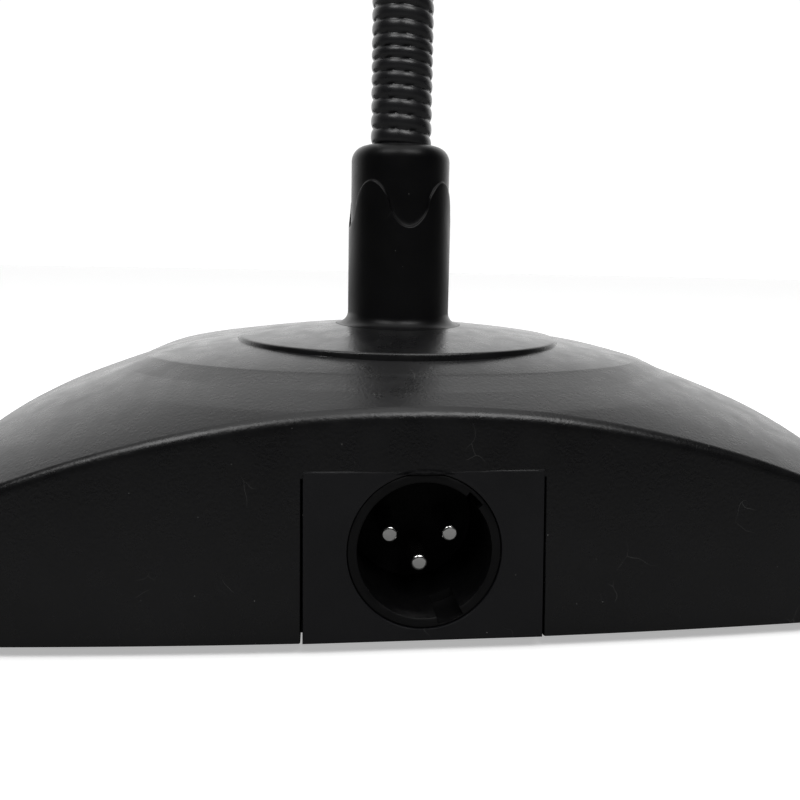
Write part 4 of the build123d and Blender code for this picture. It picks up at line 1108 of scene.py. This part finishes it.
foam = dress(windscreen(), "foam", "windscreen", "foam_windscreen")

# -------- floor, world, lights and camera
CAMERA_PLACE = (14.4, 169.7, 45.8)
CAMERA_YAW, CAMERA_PITCH, CAMERA_ROLL = radians(6.57), radians(9.0), radians(1.06)
CAMERA_LENS = 38.25


def add_floor():
    """A wide pale floor."""
    bm = bmesh.new()
    bmesh.ops.create_circle(bm, cap_ends=True, segments=96, radius=6.0)
    mesh = bpy.data.meshes.new("floor")
    bm.to_mesh(mesh)
    bm.free()
    matt = {"Roughness": 0.9, "Specular_IOR_Level": 0.1}
    material, tree, where = start_material("floor_paper", Emission_Color=(1, 1, 1, 1), **matt)
    shader = tree.nodes["Principled BSDF"]
    cloud = noise_out(tree, where, 0.01, 2.0)
    pale = ramp(tree, cloud, 0.3, 0.7, (0.90, 0.90, 0.90), (0.92, 0.92, 0.92))
    # The floor stays pale to look at, but throws less light back up at the black part
    seen = node(tree, "LightPath").outputs["Is Camera Ray"]
    tree.links.new(mixed(tree, seen, (0.22, 0.22, 0.22, 1), pale), shader.inputs["Base Color"])
    tree.links.new(math_node(tree, "MULTIPLY", seen, 0.42), shader.inputs["Emission Strength"])
    mesh.materials.append(material)
    made = new_object("floor", mesh)
    made.location = (0, 0, cad_low.z)


def add_world():
    """A white studio that is dimmer on the connector's side below the lamps."""
    world = bpy.data.worlds.new("studio")
    bpy.context.scene.world = world
    world.use_nodes = True
    tree = world.node_tree
    tree.nodes.clear()
    direction = node(tree, "TexCoord").outputs["Generated"]
    parts = node(tree, "SeparateXYZ", i0=direction)
    behind = between(tree, parts.outputs["Y"], -0.72, -0.22, 1.45, 0.03)
    overhead = between(tree, parts.outputs["Z"], 0.80, 0.97, 0.0, 1.3)
    strength = math_node(tree, "MAXIMUM", behind, overhead)
    seen = node(tree, "LightPath").outputs["Is Camera Ray"]
    shown = node(tree, "Mix", {"data_type": "FLOAT"}, i0=seen, i2=strength, i3=1.05)
    back = node(tree, "Background", Strength=shown.outputs[0], Color=(1, 1, 1, 1))
    node(tree, "OutputWorld", i0=back.outputs[0])


def add_softbox(name, azimuth, elevation, distance, width, height, radiance):
    """A soft area lamp aimed at the base, with its azimuth measured from +Y towards +X."""
    lamp = bpy.data.lights.new(name, "AREA")
    lamp.shape = "RECTANGLE"
    lamp.size, lamp.size_y = width, height
    lamp.energy = radiance * pi * width * height
    made = new_object(name, lamp)
    a, e = radians(azimuth), radians(elevation)
    out = Vector((sin(a) * cos(e), cos(a) * cos(e), sin(e)))
    made.location = Vector((0, 0.02, 0.04)) + out * distance
    made.rotation_euler = out.to_track_quat("Z", "Y").to_euler()


def add_camera():
    """The camera, at the same viewing angle as the picture of the part from behind and a little above."""
    forward = Vector((-sin(CAMERA_YAW), -cos(CAMERA_YAW), 0))
    right = Vector((-cos(CAMERA_YAW), sin(CAMERA_YAW), 0))
    up = Vector((0, 0, 1))
    aim = forward * cos(CAMERA_PITCH) - up * sin(CAMERA_PITCH)
    lift = up * cos(CAMERA_PITCH) + forward * sin(CAMERA_PITCH)
    rolled = right * cos(CAMERA_ROLL) + lift * sin(CAMERA_ROLL)
    lifted = lift * cos(CAMERA_ROLL) - right * sin(CAMERA_ROLL)
    lens = bpy.data.cameras.new("camera")
    lens.lens, lens.sensor_width = CAMERA_LENS, 36.0
    lens.clip_start = 0.005
    made = new_object("camera", lens)
    made.matrix_world = placed(Vector(CAMERA_PLACE) * MM, rolled, lifted, -aim)
    bpy.context.scene.camera = made


add_floor()
add_world()
add_softbox("left_box", 40, 50, 0.9, 0.40, 0.34, 5.0)
add_softbox("right_box", -22, 50, 0.9, 0.46, 0.34, 5.5)
add_camera()
bpy.context.scene.view_settings.view_transform = "Standard"
